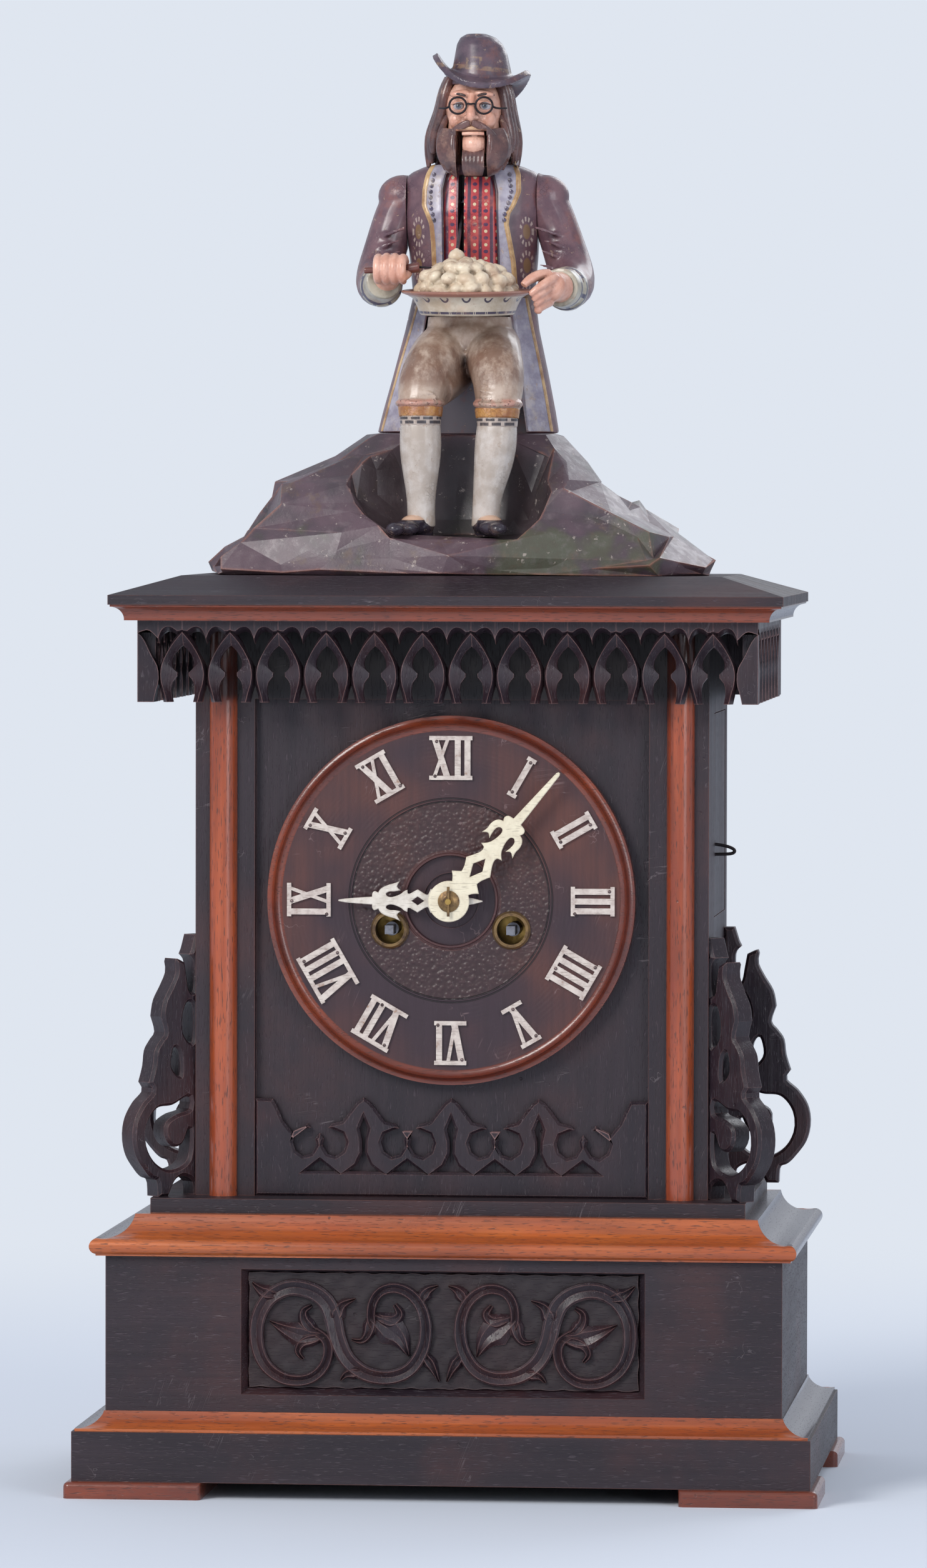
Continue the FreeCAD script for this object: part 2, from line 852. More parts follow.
def make_back():
    y0 = body_front - size.back_thick
    y1 = body_front
    slab = body_slab("back_slab", (-body_side, body_side), (y0, y1))
    rail = size.back_rail
    x0, x1 = rail - body_side, body_side - rail
    z0, z1 = seat_top + rail, body_top - 2 * rail
    hole = block("back_hole", (x0, x1), (y0 - size.overrun, y1 + size.overrun), (z0, z1))
    pin_x = x0 + size.back_thick / 2 + size.door_gap
    pin_y = body_front - size.back_thick / 2
    sockets = pin_pair("back_socket", pin_x, pin_y, z0, z1, size.door_pin_radius + size.pin_fit, size.overrun)
    keep(cut("back_stiles", slab, hole, *sockets), "back_frame")
    gap = size.door_gap
    leaf = block("back_leaf", (pin_x, x1 - gap), (y0, y1), (z0 + gap, z1 - gap))
    edge = rod("back_leaf_edge", size.back_thick / 2, z1 - z0 - 2 * gap, pin_x, pin_y, z0 + gap)
    pins = pin_pair("back_pin", pin_x, pin_y, z0, z1, size.door_pin_radius, as_amount(0))
    knob_x = x1 - size.back_rail / 2
    knob_z = (z0 + z1) / 2
    shank = size.knob_radius / 2
    bore = rod("knob_bore", shank, size.back_thick + 2 * size.overrun, knob_x, y0 - size.overrun, knob_z, "y")
    door = fused("back_leaf_whole", leaf, edge, *pins)
    keep(cut("back_door_solid", door, bore), "back_door")
    radius = size.knob_radius
    length = size.knob_length
    profile = [
        (as_amount(0) - size.back_thick, as_amount(0)),
        (length, as_amount(0)),
        (length - radius / 2, radius, radius * 1.2, -1),
        (length - radius, radius),
        (length * 0.25, shank),
        (-size.back_thick, shank),
    ]
    keep(turned("door_knob_turned", [profile], "y", knob_x, y1, knob_z), "door_knob")


# Sawn brackets, as shares of their reach and height

BRACKET_OUTLINE_SHARES = [
    (0.00, 0.00), (0.13, 0.00), (0.15, 0.05), (0.40, 0.06), (0.50, 0.00), (0.64, 0.00),
    (0.66, 0.07), (0.82, 0.10), (0.95, 0.16), (1.00, 0.23), (0.96, 0.30), (0.85, 0.37),
    (0.71, 0.41), (0.77, 0.44), (0.70, 0.50), (0.69, 0.56), (0.58, 0.61), (0.54, 0.63),
    (0.59, 0.69), (0.56, 0.75), (0.45, 0.81), (0.38, 0.86), (0.40, 0.91), (0.27, 0.89),
    (0.23, 0.84), (0.22, 0.79), (0.14, 0.78), (0.13, 0.90), (0.20, 0.92), (0.17, 0.94),
    (0.12, 1.00), (0.00, 1.00),
]
BRACKET_TEAR_SHARES = [(0.16, 0.59), (0.27, 0.61), (0.31, 0.67), (0.24, 0.74), (0.15, 0.72)]
BRACKET_EYE_SHARES = [(0.34, 0.46), (0.46, 0.50), (0.42, 0.57), (0.34, 0.54)]
BRACKET_CURL_SHARES = [
    (0.22, 0.14), (0.46, 0.10), (0.68, 0.13), (0.81, 0.20), (0.80, 0.28), (0.66, 0.34),
    (0.44, 0.35), (0.22, 0.38), (0.20, 0.33), (0.40, 0.31), (0.54, 0.28), (0.55, 0.23),
    (0.44, 0.19), (0.30, 0.20), (0.20, 0.26),
]


def bracket_loop(shares, start):
    reach = size.bracket_reach
    return [(start + reach * u, seat_top + size.bracket_height * v) for u, v in shares]


def make_brackets():
    """Four sawn brackets: one out of each front corner, and one out of each side at the back."""
    thick = size.bracket_thick
    loops = [BRACKET_OUTLINE_SHARES, BRACKET_TEAR_SHARES, BRACKET_EYE_SHARES, BRACKET_CURL_SHARES]
    back = body_front - size.body_wall - thick
    rear = sawn("bracket_rear", "front", [bracket_loop(shares, body_side) for shares in loops], back, thick)
    flat = sawn("bracket_flat", "front", [bracket_loop(shares, as_amount(0)) for shares in loops], -thick / 2, thick)
    tongue = Part.makeBox(float(thick), float(thick), float(size.bracket_height),
                          FreeCAD.Vector(-float(thick) / 2, -float(thick) / 2, float(seat_top)))
    corner = flat.Shape.fuse(tongue)
    doc.removeObject(flat.Name)
    corner.rotate(FreeCAD.Vector(0, 0, 0), FreeCAD.Vector(0, 0, 1), -45)
    corner.translate(FreeCAD.Vector(float(body_side), -float(body_front), 0))
    case = body_slab("bracket_seat", (-body_side, body_side), (-body_front, body_front))
    post = rod("bracket_post", size.column_radius + size.pin_fit, size.bracket_height,
               body_side - size.column_inset, -body_front, seat_top, "z")
    front = cut("bracket_fitted", cut("bracket_hollowed", feature("bracket_corner", corner), post), case)
    front_left = mirrored("bracket_front_left", front, (1, 0, 0))
    rear_left = mirrored("bracket_rear_left", rear, (1, 0, 0))
    keep(group("brackets", front, front_left, rear, rear_left), "scroll_brackets")


# Head of the case

BAY_KEYHOLE_SHARES = [
    (0.13, -0.06), (0.20, 0.16), (0.17, 0.30), (0.07, 0.38), (0.19, 0.48), (0.17, 0.60),
    (0.00, 0.76),
]
BAY_NOTCH_SHARES = [(0.38, -0.06), (0.44, 0.18), (0.50, 0.27)]
BAY_SPANDREL_SHARES = [(0.50, 0.46), (0.33, 0.66), (0.14, 0.99), (0.34, 1.02), (0.50, 0.86)]


def bay_loops(centre, pitch, low, high):
    """The openings of one bay: the keyhole, and the halves of the notch and spandrel on each side."""
    tall = high - low
    keyhole = [(centre + pitch * u, low + tall * v) for u, v in BAY_KEYHOLE_SHARES]
    keyhole += [(centre - pitch * u, low + tall * v) for u, v in BAY_KEYHOLE_SHARES[-2::-1]]
    return [keyhole]


def between_loops(centre, pitch, low, high):
    """The openings between two bays, centred on the line where their arches touch."""
    tall = high - low
    loops = []
    for shares in (BAY_NOTCH_SHARES, BAY_SPANDREL_SHARES):
        right = [(centre + pitch * (0.5 - u), low + tall * v) for u, v in shares]
        left = [(centre - pitch * (0.5 - u), low + tall * v) for u, v in shares[-2::-1]]
        if shares is BAY_SPANDREL_SHARES:
            left = left[:-1]
        loops.append(right + left)
    return loops


def frieze_wall(name, half, bays, plane, start):
    low = frieze_bottom
    band = frieze_bottom + size.frieze_height * 0.86
    pitch = size.bay_pitch
    first = -(bays - 1) / 2
    outline = [(-half, low), (half, low), (half, body_top), (-half, body_top)]
    loops = [outline]
    for i in range(bays):
        centre = pitch * (first + i)
        loops += bay_loops(centre, pitch, low, band)
        if i < bays - 1:
            loops += between_loops(centre + pitch / 2, pitch, low, band)
    return sawn(name, plane, loops, start, size.frieze_thick)


def make_frieze():
    x = half_width - size.frieze_inset
    y = half_depth - size.frieze_inset
    thick = size.frieze_thick
    front = frieze_wall("frieze_front", x, 12, "front", -y)
    inner = y - thick
    right = frieze_wall("frieze_side", inner, 6, "side", x - thick)
    left = mirrored("frieze_left", right, (1, 0, 0))
    back = block("frieze_back", (-x, x), (y - thick, y), (frieze_bottom, body_top))
    keep(group("frieze_boards", front, right, left, back), "frieze_arcade")


def make_cornice():
    low = size.cornice_inset
    high = size.cornice_lip_inset
    rise = size.cornice_height
    run = low - high
    edge = [
        (low, body_top),
        (low, body_top + rise / 8),
        (high, cornice_top - rise / 8, (run * run + rise * rise) / (2 * run) * 0.8, 1),
        (high, cornice_top),
    ]
    inner_x = body_side - size.body_wall
    inner_y = body_front - size.body_wall
    keep(moulding("cornice_cove", edge, inner_x, inner_y, body_top, cornice_top), "cornice_moulding")
    x = half_width - size.top_inset
    y = half_depth - size.top_inset
    slab = block("top_slab", (-x, x), (-y, y), (cornice_top, top_edge_top))
    slope = doc.addObject("Part::Wedge", "top_slope")
    lean = size.top_slope_inset - size.top_inset
    bind(
        slope,
        Xmin=-x,
        Xmax=x,
        X2min=lean - x,
        X2max=x - lean,
        Ymin=0,
        Ymax=size.top_slope_height,
        Zmin=-y,
        Zmax=y,
        Z2min=lean - y,
        Z2max=y - lean,
    )
    place(slope, 0, 0, top_edge_top, (1, 0, 0), 90)
    whole = fused("top_whole", slab, slope)
    rod_hole = block(
        "top_rod_hole",
        (lift_x - size.lift_rod_radius * 2.5, lift_x + size.lift_rod_radius * 2.5),
        (lift_y - size.lift_rod_radius * 2.5, lift_y + size.lift_rod_radius * 2.5),
        (cornice_top - size.overrun, rock_bottom + size.overrun),
    )
    keep(cut("top_bored", whole, rod_hole), "top_board")


# Dial, numerals and hands


def make_dial():
    face = -size.dial_thick
    lip_in = size.lip_radius - size.lip_width
    bore = size.hour_pipe_radius + 2 * size.hand_clearance
    step = lip_in * 0.62
    profile = [
        (as_amount(0), bore),
        (as_amount(0), size.dial_radius),
        (face, size.dial_radius),
        (face, size.lip_radius),
        (face - size.lip_proud, size.lip_radius - size.lip_width / 4),
        (face - size.lip_proud, lip_in + size.lip_width / 4),
        (face + size.recess_depth * 0.6, lip_in),
        (face + size.recess_depth * 0.6, step),
        (face + size.recess_depth, step),
        (face + size.recess_depth, bore),
    ]
    disc = turned("dial_turned", [profile], "y", 0, panel_front, dial_z)
    bores = [
        rod(f"dial_bore_{side}", size.collar_neck, 2 * size.dial_thick, side * size.arbor_spread,
            panel_front - size.dial_thick * 1.5, dial_z - size.arbor_drop, "y")
        for side in (-1, 1)
    ]
    keep(cut("dial_bored", disc, *bores), "dial_disc")
    inner = size.dial_radius
    outer = inner + size.bead_width
    crown = face - size.bead_proud
    shoulder = crown + size.bead_width / 2
    bead = [
        (as_amount(0), inner),
        (as_amount(0), outer),
        (shoulder, outer),
        (crown, (inner + outer) / 2, size.bead_width / 2, 1),
        (shoulder, inner, size.bead_width / 2, 1),
    ]
    keep(turned("bead_turned", [bead], "y", 0, panel_front, dial_z), "dial_bead")
    collars = []
    for side in (-1, 1):
        flange = [
            (as_amount(0) - size.collar_proud, size.collar_bore),
            (size.dial_thick, size.collar_bore),
            (size.dial_thick, size.collar_neck),
            (as_amount(0), size.collar_neck),
            (as_amount(0), size.collar_radius),
            (-size.collar_proud / 2, size.collar_radius),
            (-size.collar_proud, size.collar_radius - size.collar_proud / 2),
        ]
        collars.append(turned(f"collar_{side}", [flange], "y", side * size.arbor_spread, dial_face,
                              dial_z - size.arbor_drop))
    keep(group("collars", *collars), "winding_collars")


NUMERALS = ["XII", "I", "II", "III", "IIII", "V", "VI", "VII", "VIII", "IX", "X", "XI"]
LETTER_WIDTH_SHARES = {"I": 1.65, "V": 3.8, "X": 4.0}


def strip(points):
    corners = [FreeCAD.Vector(x, 0, z) for x, z in points]
    return Part.Face(Part.makePolygon(corners + corners[:1]))


def slanted(x_low, x_high, low, high, wide):
    half = wide / 2
    return strip([(x_low - half, low), (x_low + half, low), (x_high + half, high), (x_high - half, high)])


def numeral_shape(letters):
    """One numeral cut from bone, upright at the top of the dial, with bars that join its strokes."""
    stroke = float(size.numeral_stroke)
    serif = float(size.numeral_serif)
    high = float(size.numeral_reach)
    low = high - float(size.numeral_height)
    widths = [LETTER_WIDTH_SHARES[letter] * stroke for letter in letters]
    edge = -sum(widths) / 2
    faces = []
    for letter, wide in zip(letters, widths):
        middle = edge + wide / 2
        if letter == "I":
            faces.append(slanted(middle, middle, low, high, stroke))
        elif letter == "V":
            faces.append(slanted(middle + stroke / 4, middle - wide * 0.32, low, high, stroke * 1.1))
            faces.append(slanted(middle, middle + wide * 0.34, low, high, stroke * 0.6))
        else:
            faces.append(slanted(middle + wide * 0.3, middle - wide * 0.3, low, high, stroke * 1.1))
            faces.append(slanted(middle - wide * 0.33, middle + wide * 0.33, low, high, stroke * 0.6))
        edge += wide
    half = sum(widths) / 2
    for base in (low, high - serif):
        faces.append(strip([(-half, base), (half, base), (half, base + serif), (-half, base + serif)]))
    flat = faces[0].multiFuse(faces[1:]).removeSplitter()
    return flat.extrude(FreeCAD.Vector(0, -float(size.numeral_thick), 0))


def make_numerals():
    solids = []
    for hour, letters in enumerate(NUMERALS):
        numeral = numeral_shape(letters)
        numeral.rotate(FreeCAD.Vector(0, 0, 0), FreeCAD.Vector(0, 1, 0), 30 * hour)
        numeral.translate(FreeCAD.Vector(0, float(dial_face), float(dial_z)))
        solids += numeral.Solids
    keep(feature("bone_numerals", Part.makeCompound(solids)), "numerals")


# half outlines of the hands, as (distance from the arbor, half width) in shares of the length
MINUTE_HAND_SHARES = [
    (0.117, 0.050), (0.151, 0.098), (0.168, 0.062), (0.195, 0.055), (0.262, 0.096), (0.330, 0.062),
    (0.365, 0.040), (0.382, 0.076), (0.425, 0.050), (0.455, 0.046), (0.470, 0.090), (0.440, 0.118),
    (0.465, 0.128), (0.530, 0.120), (0.562, 0.082), (0.585, 0.062), (0.607, 0.060), (0.622, 0.030),
    (0.800, 0.017), (1.000, 0.004),
]
HOUR_HAND_SHARES = [
    (0.150, 0.070), (0.178, 0.108), (0.200, 0.058), (0.232, 0.056), (0.290, 0.098), (0.350, 0.056),
    (0.388, 0.096), (0.425, 0.050), (0.480, 0.046), (0.500, 0.110), (0.455, 0.172), (0.500, 0.160),
    (0.580, 0.135), (0.630, 0.088), (0.680, 0.076), (0.705, 0.046), (0.860, 0.022), (1.000, 0.006),
]
HAND_LATTICE_SHARES = [(0.245, 0.0), (0.285, 0.036), (0.330, 0.0), (0.285, -0.036)]


def hand_board(name, shares, length, tail):
    along = [(length * w, length * s) for s, w in shares]
    back = [(-(length * w), length * s) for s, w in reversed(shares)]
    lattice = [(length * w, length * s) for s, w in HAND_LATTICE_SHARES]
    blade = sawn(name + "_blade", "front", [along + back, lattice], -size.hand_thick, size.hand_thick)
    boss = rod(name + "_boss", size.hand_boss_radius, size.hand_thick, 0, -size.hand_thick, 0, "y")
    pieces = [blade, boss]
    if tail:
        wide = size.hand_boss_radius / 4
        start = size.hand_boss_radius / 2
        pieces.append(board(name + "_tail", "front", [[(-wide, -start), (as_amount(0), -tail), (wide, -start)]],
                            -size.hand_thick, size.hand_thick))
    return fused(name + "_whole", *pieces)


def make_hands():
    minute = hand_board("minute", MINUTE_HAND_SHARES, size.minute_hand_length, None)
    bored = cut("minute_bored", minute, rod("minute_bore", size.centre_arbor_radius * 0.75,
                                            3 * size.hand_thick, 0, -2 * size.hand_thick, 0, "y"))
    place(bored, 0, dial_face - size.minute_hand_stand, dial_z, (0, 1, 0), 40.6)
    bored.setExpression("Placement.Rotation.Angle", "Sizes.minute_hand_angle")
    keep(bored, "minute_hand")
    hour = hand_board("hour", HOUR_HAND_SHARES, size.hour_hand_length, size.hour_tail_length)
    hour_bored = cut("hour_bored", hour, rod("hour_bore", size.hour_pipe_radius, 3 * size.hand_thick,
                                             0, -2 * size.hand_thick, 0, "y"))
    place(hour_bored, 0, dial_face - size.hour_hand_stand, dial_z, (0, 1, 0), 270)
    hour_bored.setExpression("Placement.Rotation.Angle", "Sizes.hour_hand_angle")
    keep(hour_bored, "hour_hand")
    front = dial_face - size.minute_hand_stand - size.hand_thick
    tip = size.centre_arbor_radius * 0.75
    washer = [
        (as_amount(0), tip),
        (as_amount(0), size.washer_radius),
        (-size.washer_thick / 2, size.washer_radius),
        (-size.washer_thick * 2, size.washer_radius / 2),
        (-size.washer_thick * 2, tip),
    ]
    disc = turned("washer", [washer], "y", 0, front, dial_z)
    pin_y = front - size.washer_thick * 2 - size.taper_pin_radius
    pin = rod("taper_pin", size.taper_pin_radius, size.taper_pin_length, 0, pin_y,
              dial_z - size.taper_pin_length / 2)
    keep(group("hand_fastening", disc, pin), "hand_pin")
    return front, pin_y


# Wheels

PRESSURE = math.radians(20)


def involute(angle):
    return math.tan(angle) - angle


def gear_outline(teeth, module, shift, tip_share, steps, phase):
    """The points of a gear in its plane, with a tooth at the angle phase. Flanks follow an involute."""
    pitch = module * teeth / 2
    base = pitch * math.cos(PRESSURE)
    tip = pitch + module * tip_share
    root = pitch - module * (1.25 - shift)
    play = float(size.tooth_play_share)
    thick = module * (math.pi / 2 + 2 * shift * math.tan(PRESSURE) - play)
    points = []
    for tooth in range(teeth):
        middle = phase + 2 * math.pi * tooth / teeth
        flank = []
        for step in range(steps + 1):
            radius = max(root, base) + (tip - max(root, base)) * step / steps
            turn = involute(math.acos(min(1.0, base / radius)))
            half = thick / (2 * pitch) + involute(PRESSURE) - turn
            flank.append((radius, half))
        if root < base:
            flank.insert(0, (root, flank[0][1]))
        for radius, half in flank:
            points.append((radius * math.cos(middle - half), radius * math.sin(middle - half)))
        for radius, half in reversed(flank):
            points.append((radius * math.cos(middle + half), radius * math.sin(middle + half)))
    return points


def flat_gear(points, x, y, z, thick, windows=()):
    """A gear blank from y, thick along +Y, in the plane of the dial, less its windows."""
    corners = [FreeCAD.Vector(x + a, y, z + b) for a, b in points]
    face = Part.Face(Part.makePolygon(corners + corners[:1]))
    solid = face.extrude(FreeCAD.Vector(0, thick, 0))
    for window in windows:
        corners = [FreeCAD.Vector(x + a, y, z + b) for a, b in window]
        hole = Part.Face(Part.makePolygon(corners + corners[:1]))
        solid = solid.cut(hole.extrude(FreeCAD.Vector(0, thick, 0)))
    return solid


def spoke_windows(rim, hub, spokes, arm, phase):
    """The openings between the arms of a crossed out wheel."""
    windows = []
    for i in range(spokes):
        start = phase + 2 * math.pi * i / spokes
        end = start + 2 * math.pi / spokes
        half_out = math.asin(arm / 2 / rim)
        half_in = math.asin(min(0.9, arm / 2 / hub))
        middle = (start + end) / 2
        corners = [(hub, start + half_in), (rim, start + half_out), (rim / math.cos((end - start) / 12), middle),
                   (rim, end - half_out), (hub, end - half_in)]
        corners[2] = (rim, middle)
        windows.append([(r * math.cos(t), r * math.sin(t)) for r, t in corners])
    return windows


def gear(teeth, module, shift, tip_share, steps, phase, place_xz, y, thick, crossed=0):
    x, z = place_xz
    points = gear_outline(teeth, module, shift, tip_share, steps, phase)
    windows = []
    if crossed:
        root = module * teeth / 2 - module * (1.25 - shift)
        windows = spoke_windows(root * 0.86, root * 0.24, crossed, root * 0.13, phase)
    return flat_gear(points, x, y, z, thick, windows)


def bar_y(radius, start, end, x, z):
    return Part.makeCylinder(radius, end - start, FreeCAD.Vector(x, start, z), FreeCAD.Vector(0, 1, 0))


def angle_to(here, there):
    return math.atan2(there[1] - here[1], there[0] - here[0])


def layout():
    """Where each arbor stands behind the dial, worked out from tooth counts and modules."""
    centre = (0.0, float(dial_z))
    spread = float(size.arbor_spread)
    drop = float(size.arbor_drop)
    time = (spread, centre[1] - drop)
    strike = (-spread, centre[1] - drop)
    first = float(size.centre_module) * (CENTRE_TEETH + TRAIN_PINION_LEAVES) / 2
    second = float(size.third_module) * (THIRD_TEETH + TRAIN_PINION_LEAVES) / 2
    lean = math.radians(128.5)
    third = (centre[0] + first * math.cos(lean), centre[1] + first * math.sin(lean))
    escape = (0.0, third[1] + math.sqrt(second ** 2 - third[0] ** 2))
    pallet = (0.0, escape[1] + float(size.pallet_rise))
    motion = (0.0, centre[1] - float(size.motion_drop))
    return {"centre": centre, "time": time, "strike": strike, "third": third, "escape": escape,
            "pallet": pallet, "motion": motion}


# how far a pinion's and a wheel's teeth are shifted, and how high they stand, in modules
PINION_SHIFT = {6: 0.65, 10: 0.45, 12: 0.35}
PINION_TIP = {6: 1.28, 10: 1.2, 12: 1.2}


def wheel_and_pinion(wheel_teeth, leaves, module, wheel_at, pinion_at, wheel_y, pinion_y, thick, long, crossed):
    """A meshed pair at rest: the wheel has a tooth, and the pinion a gap, on the line between them."""
    shift = PINION_SHIFT[leaves]
    toward = angle_to(wheel_at, pinion_at)
    wheel = gear(wheel_teeth, module, -shift, 1 - shift, 1, toward, wheel_at, wheel_y, thick, crossed)
    gap = toward + math.pi + math.pi / leaves
    pinion = gear(leaves, module, shift, PINION_TIP[leaves], 2, gap, pinion_at, pinion_y, long)
    return wheel, pinion


def drilled_plate(name, y, at, holes):
    """A movement plate with its pivot holes."""
    half = size.plate_width / 2
    low = dial_z - size.plate_drop
    slab = block(name + "_slab", (-half, half), (y, y + size.plate_thick), (low, low + size.plate_height))
    drills = []
    for i, (key, radius) in enumerate(holes):
        x, z = at[key]
        drills.append(feature(f"{name}_drill_{i}", bar_y(radius, float(y) - 1, float(y + size.plate_thick) + 1, x, z)))
    return slab, drills


def pillar_spots():
    half = size.plate_width / 2 - size.pillar_inset
    low = dial_z - size.plate_drop + size.pillar_inset
    high = dial_z - size.plate_drop + size.plate_height - size.pillar_inset
    return [(side * half, z) for side in (-1, 1) for z in (low, high)]


def make_plates(at):
    fit = float(size.pin_fit)
    pivot = float(size.pivot_radius) + fit
    big = float(size.winding_arbor_radius) + fit
    thin = [("third", pivot), ("escape", pivot), ("pallet", pivot)]
    stout = [("time", big), ("strike", big)]
    front_holes = thin + stout + [("centre", float(size.centre_arbor_radius) + fit)]
    back_holes = thin + stout + [("centre", pivot)]
    spots = pillar_spots()
    slab, drills = drilled_plate("front_plate", front_plate_y, at, front_holes)
    seats = [rod(f"pillar_seat_{i}", size.pillar_neck, 3 * size.plate_thick, x, front_plate_y - size.plate_thick,
                 z, "y") for i, (x, z) in enumerate(spots)]
    x, z = at["motion"]
    post = feature("minute_post", bar_y(pivot - 2 * fit, float(panel_back) + 1, float(front_plate_y), x, z))
    keep(fused("front_plate_posted", cut("front_plate_bored", slab, *drills, *seats), post), "front_plate")
    slab, drills = drilled_plate("back_plate", back_plate_y, at, back_holes)
    pillars = []
    for i, (x, z) in enumerate(spots):
        pillars.append(rod(f"pillar_{i}", size.pillar_radius, size.plate_gap, x, train_y, z, "y"))
        pillars.append(rod(f"pillar_neck_{i}", size.pillar_neck, size.plate_thick, x, front_plate_y, z, "y"))
        pillars.append(rod(f"dial_foot_{i}", size.pillar_radius, size.plate_stand, x, panel_back, z, "y"))
    extras = pillars + [pendulum_cock(at), hammer_stud()]
    keep(fused("back_plate_pillared", cut("back_plate_bored", slab, *drills), *extras), "back_plate")


def make_barrel(at, key, label, wheel_y, drum_y):
    """A spring barrel that turns on the winding arbor, with its great wheel on the same axis."""
    x, z = at[key]
    fit = float(size.pin_fit)
    module = 2 * math.hypot(float(size.arbor_spread), float(size.arbor_drop)) / (GREAT_TEETH + CENTRE_PINION_LEAVES)
    toward = angle_to(at[key], at["centre"])
    shift = PINION_SHIFT[CENTRE_PINION_LEAVES]
    wheel = gear(GREAT_TEETH, module, -shift, 1 - shift, 1, toward, at[key], wheel_y,
                 float(size.great_wheel_thick))
    drum = bar_y(float(size.barrel_radius), drum_y, drum_y + float(size.barrel_length), x, z)
    wall = float(size.barrel_wall)
    hollow = bar_y(float(size.barrel_radius) - wall, drum_y + wall, drum_y + float(size.barrel_length) - wall, x, z)
    bore = bar_y(float(size.winding_arbor_radius) + fit, wheel_y - 100, wheel_y + 100, x, z)
    solid = wheel.fuse(drum).cut(hollow).cut(bore)
    keep(feature(label + "_solid", solid.removeSplitter()), label)
    return module


def make_winding_arbor(at, key, label):
    x, z = at[key]
    radius = float(size.winding_arbor_radius)
    side = float(size.winding_square)
    tip = float(dial_face - size.winding_stand)
    start = float(panel_front)
    round_bar = bar_y(radius, start, float(train_end), x, z)
    square = Part.makeBox(side, start - tip, side, FreeCAD.Vector(x - side / 2, tip, z - side / 2))
    collar_y = float(train_y) + 0.2
    step = bar_y(radius * 1.5, collar_y, collar_y + 1.2, x, z)
    keep(feature(label + "_solid", round_bar.fuse([square, step]).removeSplitter()), label)


def make_train(at, hand_front, pin_y):
    y0 = float(train_y)
    y1 = float(back_plate_y)
    thick = float(size.wheel_thick)
    fit = float(size.pin_fit)
    arbor = float(size.arbor_radius)
    pivot = float(size.pivot_radius)
    drum_y = y0 + 2.5
    great = float(size.great_wheel_thick)
    strike_wheel_y = drum_y
    make_barrel(at, "strike", "strike_barrel", strike_wheel_y, strike_wheel_y + great)
    time_wheel_y = drum_y + float(size.barrel_length) + 2
    module = make_barrel(at, "time", "time_barrel", time_wheel_y, time_wheel_y - float(size.barrel_length))
    make_winding_arbor(at, "time", "time_winding_arbor")
    make_winding_arbor(at, "strike", "strike_winding_arbor")

    centre_wheel_y = time_wheel_y + great + 3.5
    third_pinion_y = centre_wheel_y - 1.2
    third_wheel_y = centre_wheel_y + thick + 3.2
    escape_pinion_y = third_wheel_y - 1.2
    wheel, third_pinion = wheel_and_pinion(
        CENTRE_TEETH, TRAIN_PINION_LEAVES, float(size.centre_module), at["centre"], at["third"],
        centre_wheel_y, third_pinion_y, thick, thick + 2.4, 5)
    third_wheel, escape_pinion = wheel_and_pinion(
        THIRD_TEETH, TRAIN_PINION_LEAVES, float(size.third_module), at["third"], at["escape"],
        third_wheel_y, escape_pinion_y, thick, thick + 2.4, 5)
    toward = angle_to(at["time"], at["centre"])
    leaves = CENTRE_PINION_LEAVES
    pinion = gear(leaves, module, PINION_SHIFT[leaves], PINION_TIP[leaves], 2,
                  toward + math.pi + math.pi / leaves, at["centre"], time_wheel_y - 1, great + 2)
    x, z = at["centre"]
    cannon_y = float(front_plate_y) - 3.6
    cannon_module = 2 * float(size.motion_drop) / (CANNON_LEAVES + MINUTE_TEETH)
    minute_wheel, cannon = wheel_and_pinion(
        MINUTE_TEETH, CANNON_LEAVES, cannon_module, at["motion"], at["centre"],
        cannon_y + 0.4, cannon_y - 0.2, thick, thick + 1.2, 0)
    hour_module = 2 * float(size.motion_drop) / (MINUTE_PINION_LEAVES + HOUR_TEETH)
    hour_y = float(panel_back) + 1.6
    hour_wheel, minute_pinion = wheel_and_pinion(
        HOUR_TEETH, MINUTE_PINION_LEAVES, hour_module, at["centre"], at["motion"],
        hour_y, hour_y - 0.4, thick, thick + 1.2, 0)
    centre_bar = bar_y(float(size.centre_arbor_radius), float(hand_front) + float(size.hand_thick), y1 - fit, x, z)
    tip = bar_y(float(size.centre_arbor_radius) * 0.75, float(pin_y) - 2, float(hand_front) + 2, x, z)
    end = bar_y(pivot, y1 - 1, float(train_end), x, z)
    pin_hole = Part.makeCylinder(float(size.taper_pin_radius), 20,
                                 FreeCAD.Vector(x, float(pin_y), z - 10), FreeCAD.Vector(0, 0, 1))
    centre = centre_bar.fuse([tip, end, wheel, pinion, cannon]).cut(pin_hole)
    keep(feature("centre_train", centre.removeSplitter()), "centre_wheel")
    for label, key, parts in (
        ("third_wheel", "third", [third_wheel, third_pinion]),
        ("escape_wheel", "escape", [escape_pinion, escape_blank(at, y0 + 8)]),
    ):
        x, z = at[key]
        bar = bar_y(arbor, y0 + fit, y1 - fit, x, z)
        ends = bar_y(pivot, float(front_plate_y), float(train_end), x, z)
        keep(feature(label + "_solid", bar.fuse([ends] + parts).removeSplitter()), label)
    make_motion_work(at, minute_wheel, minute_pinion, hour_wheel, cannon_y, hour_y, thick)
    return y0 + 8


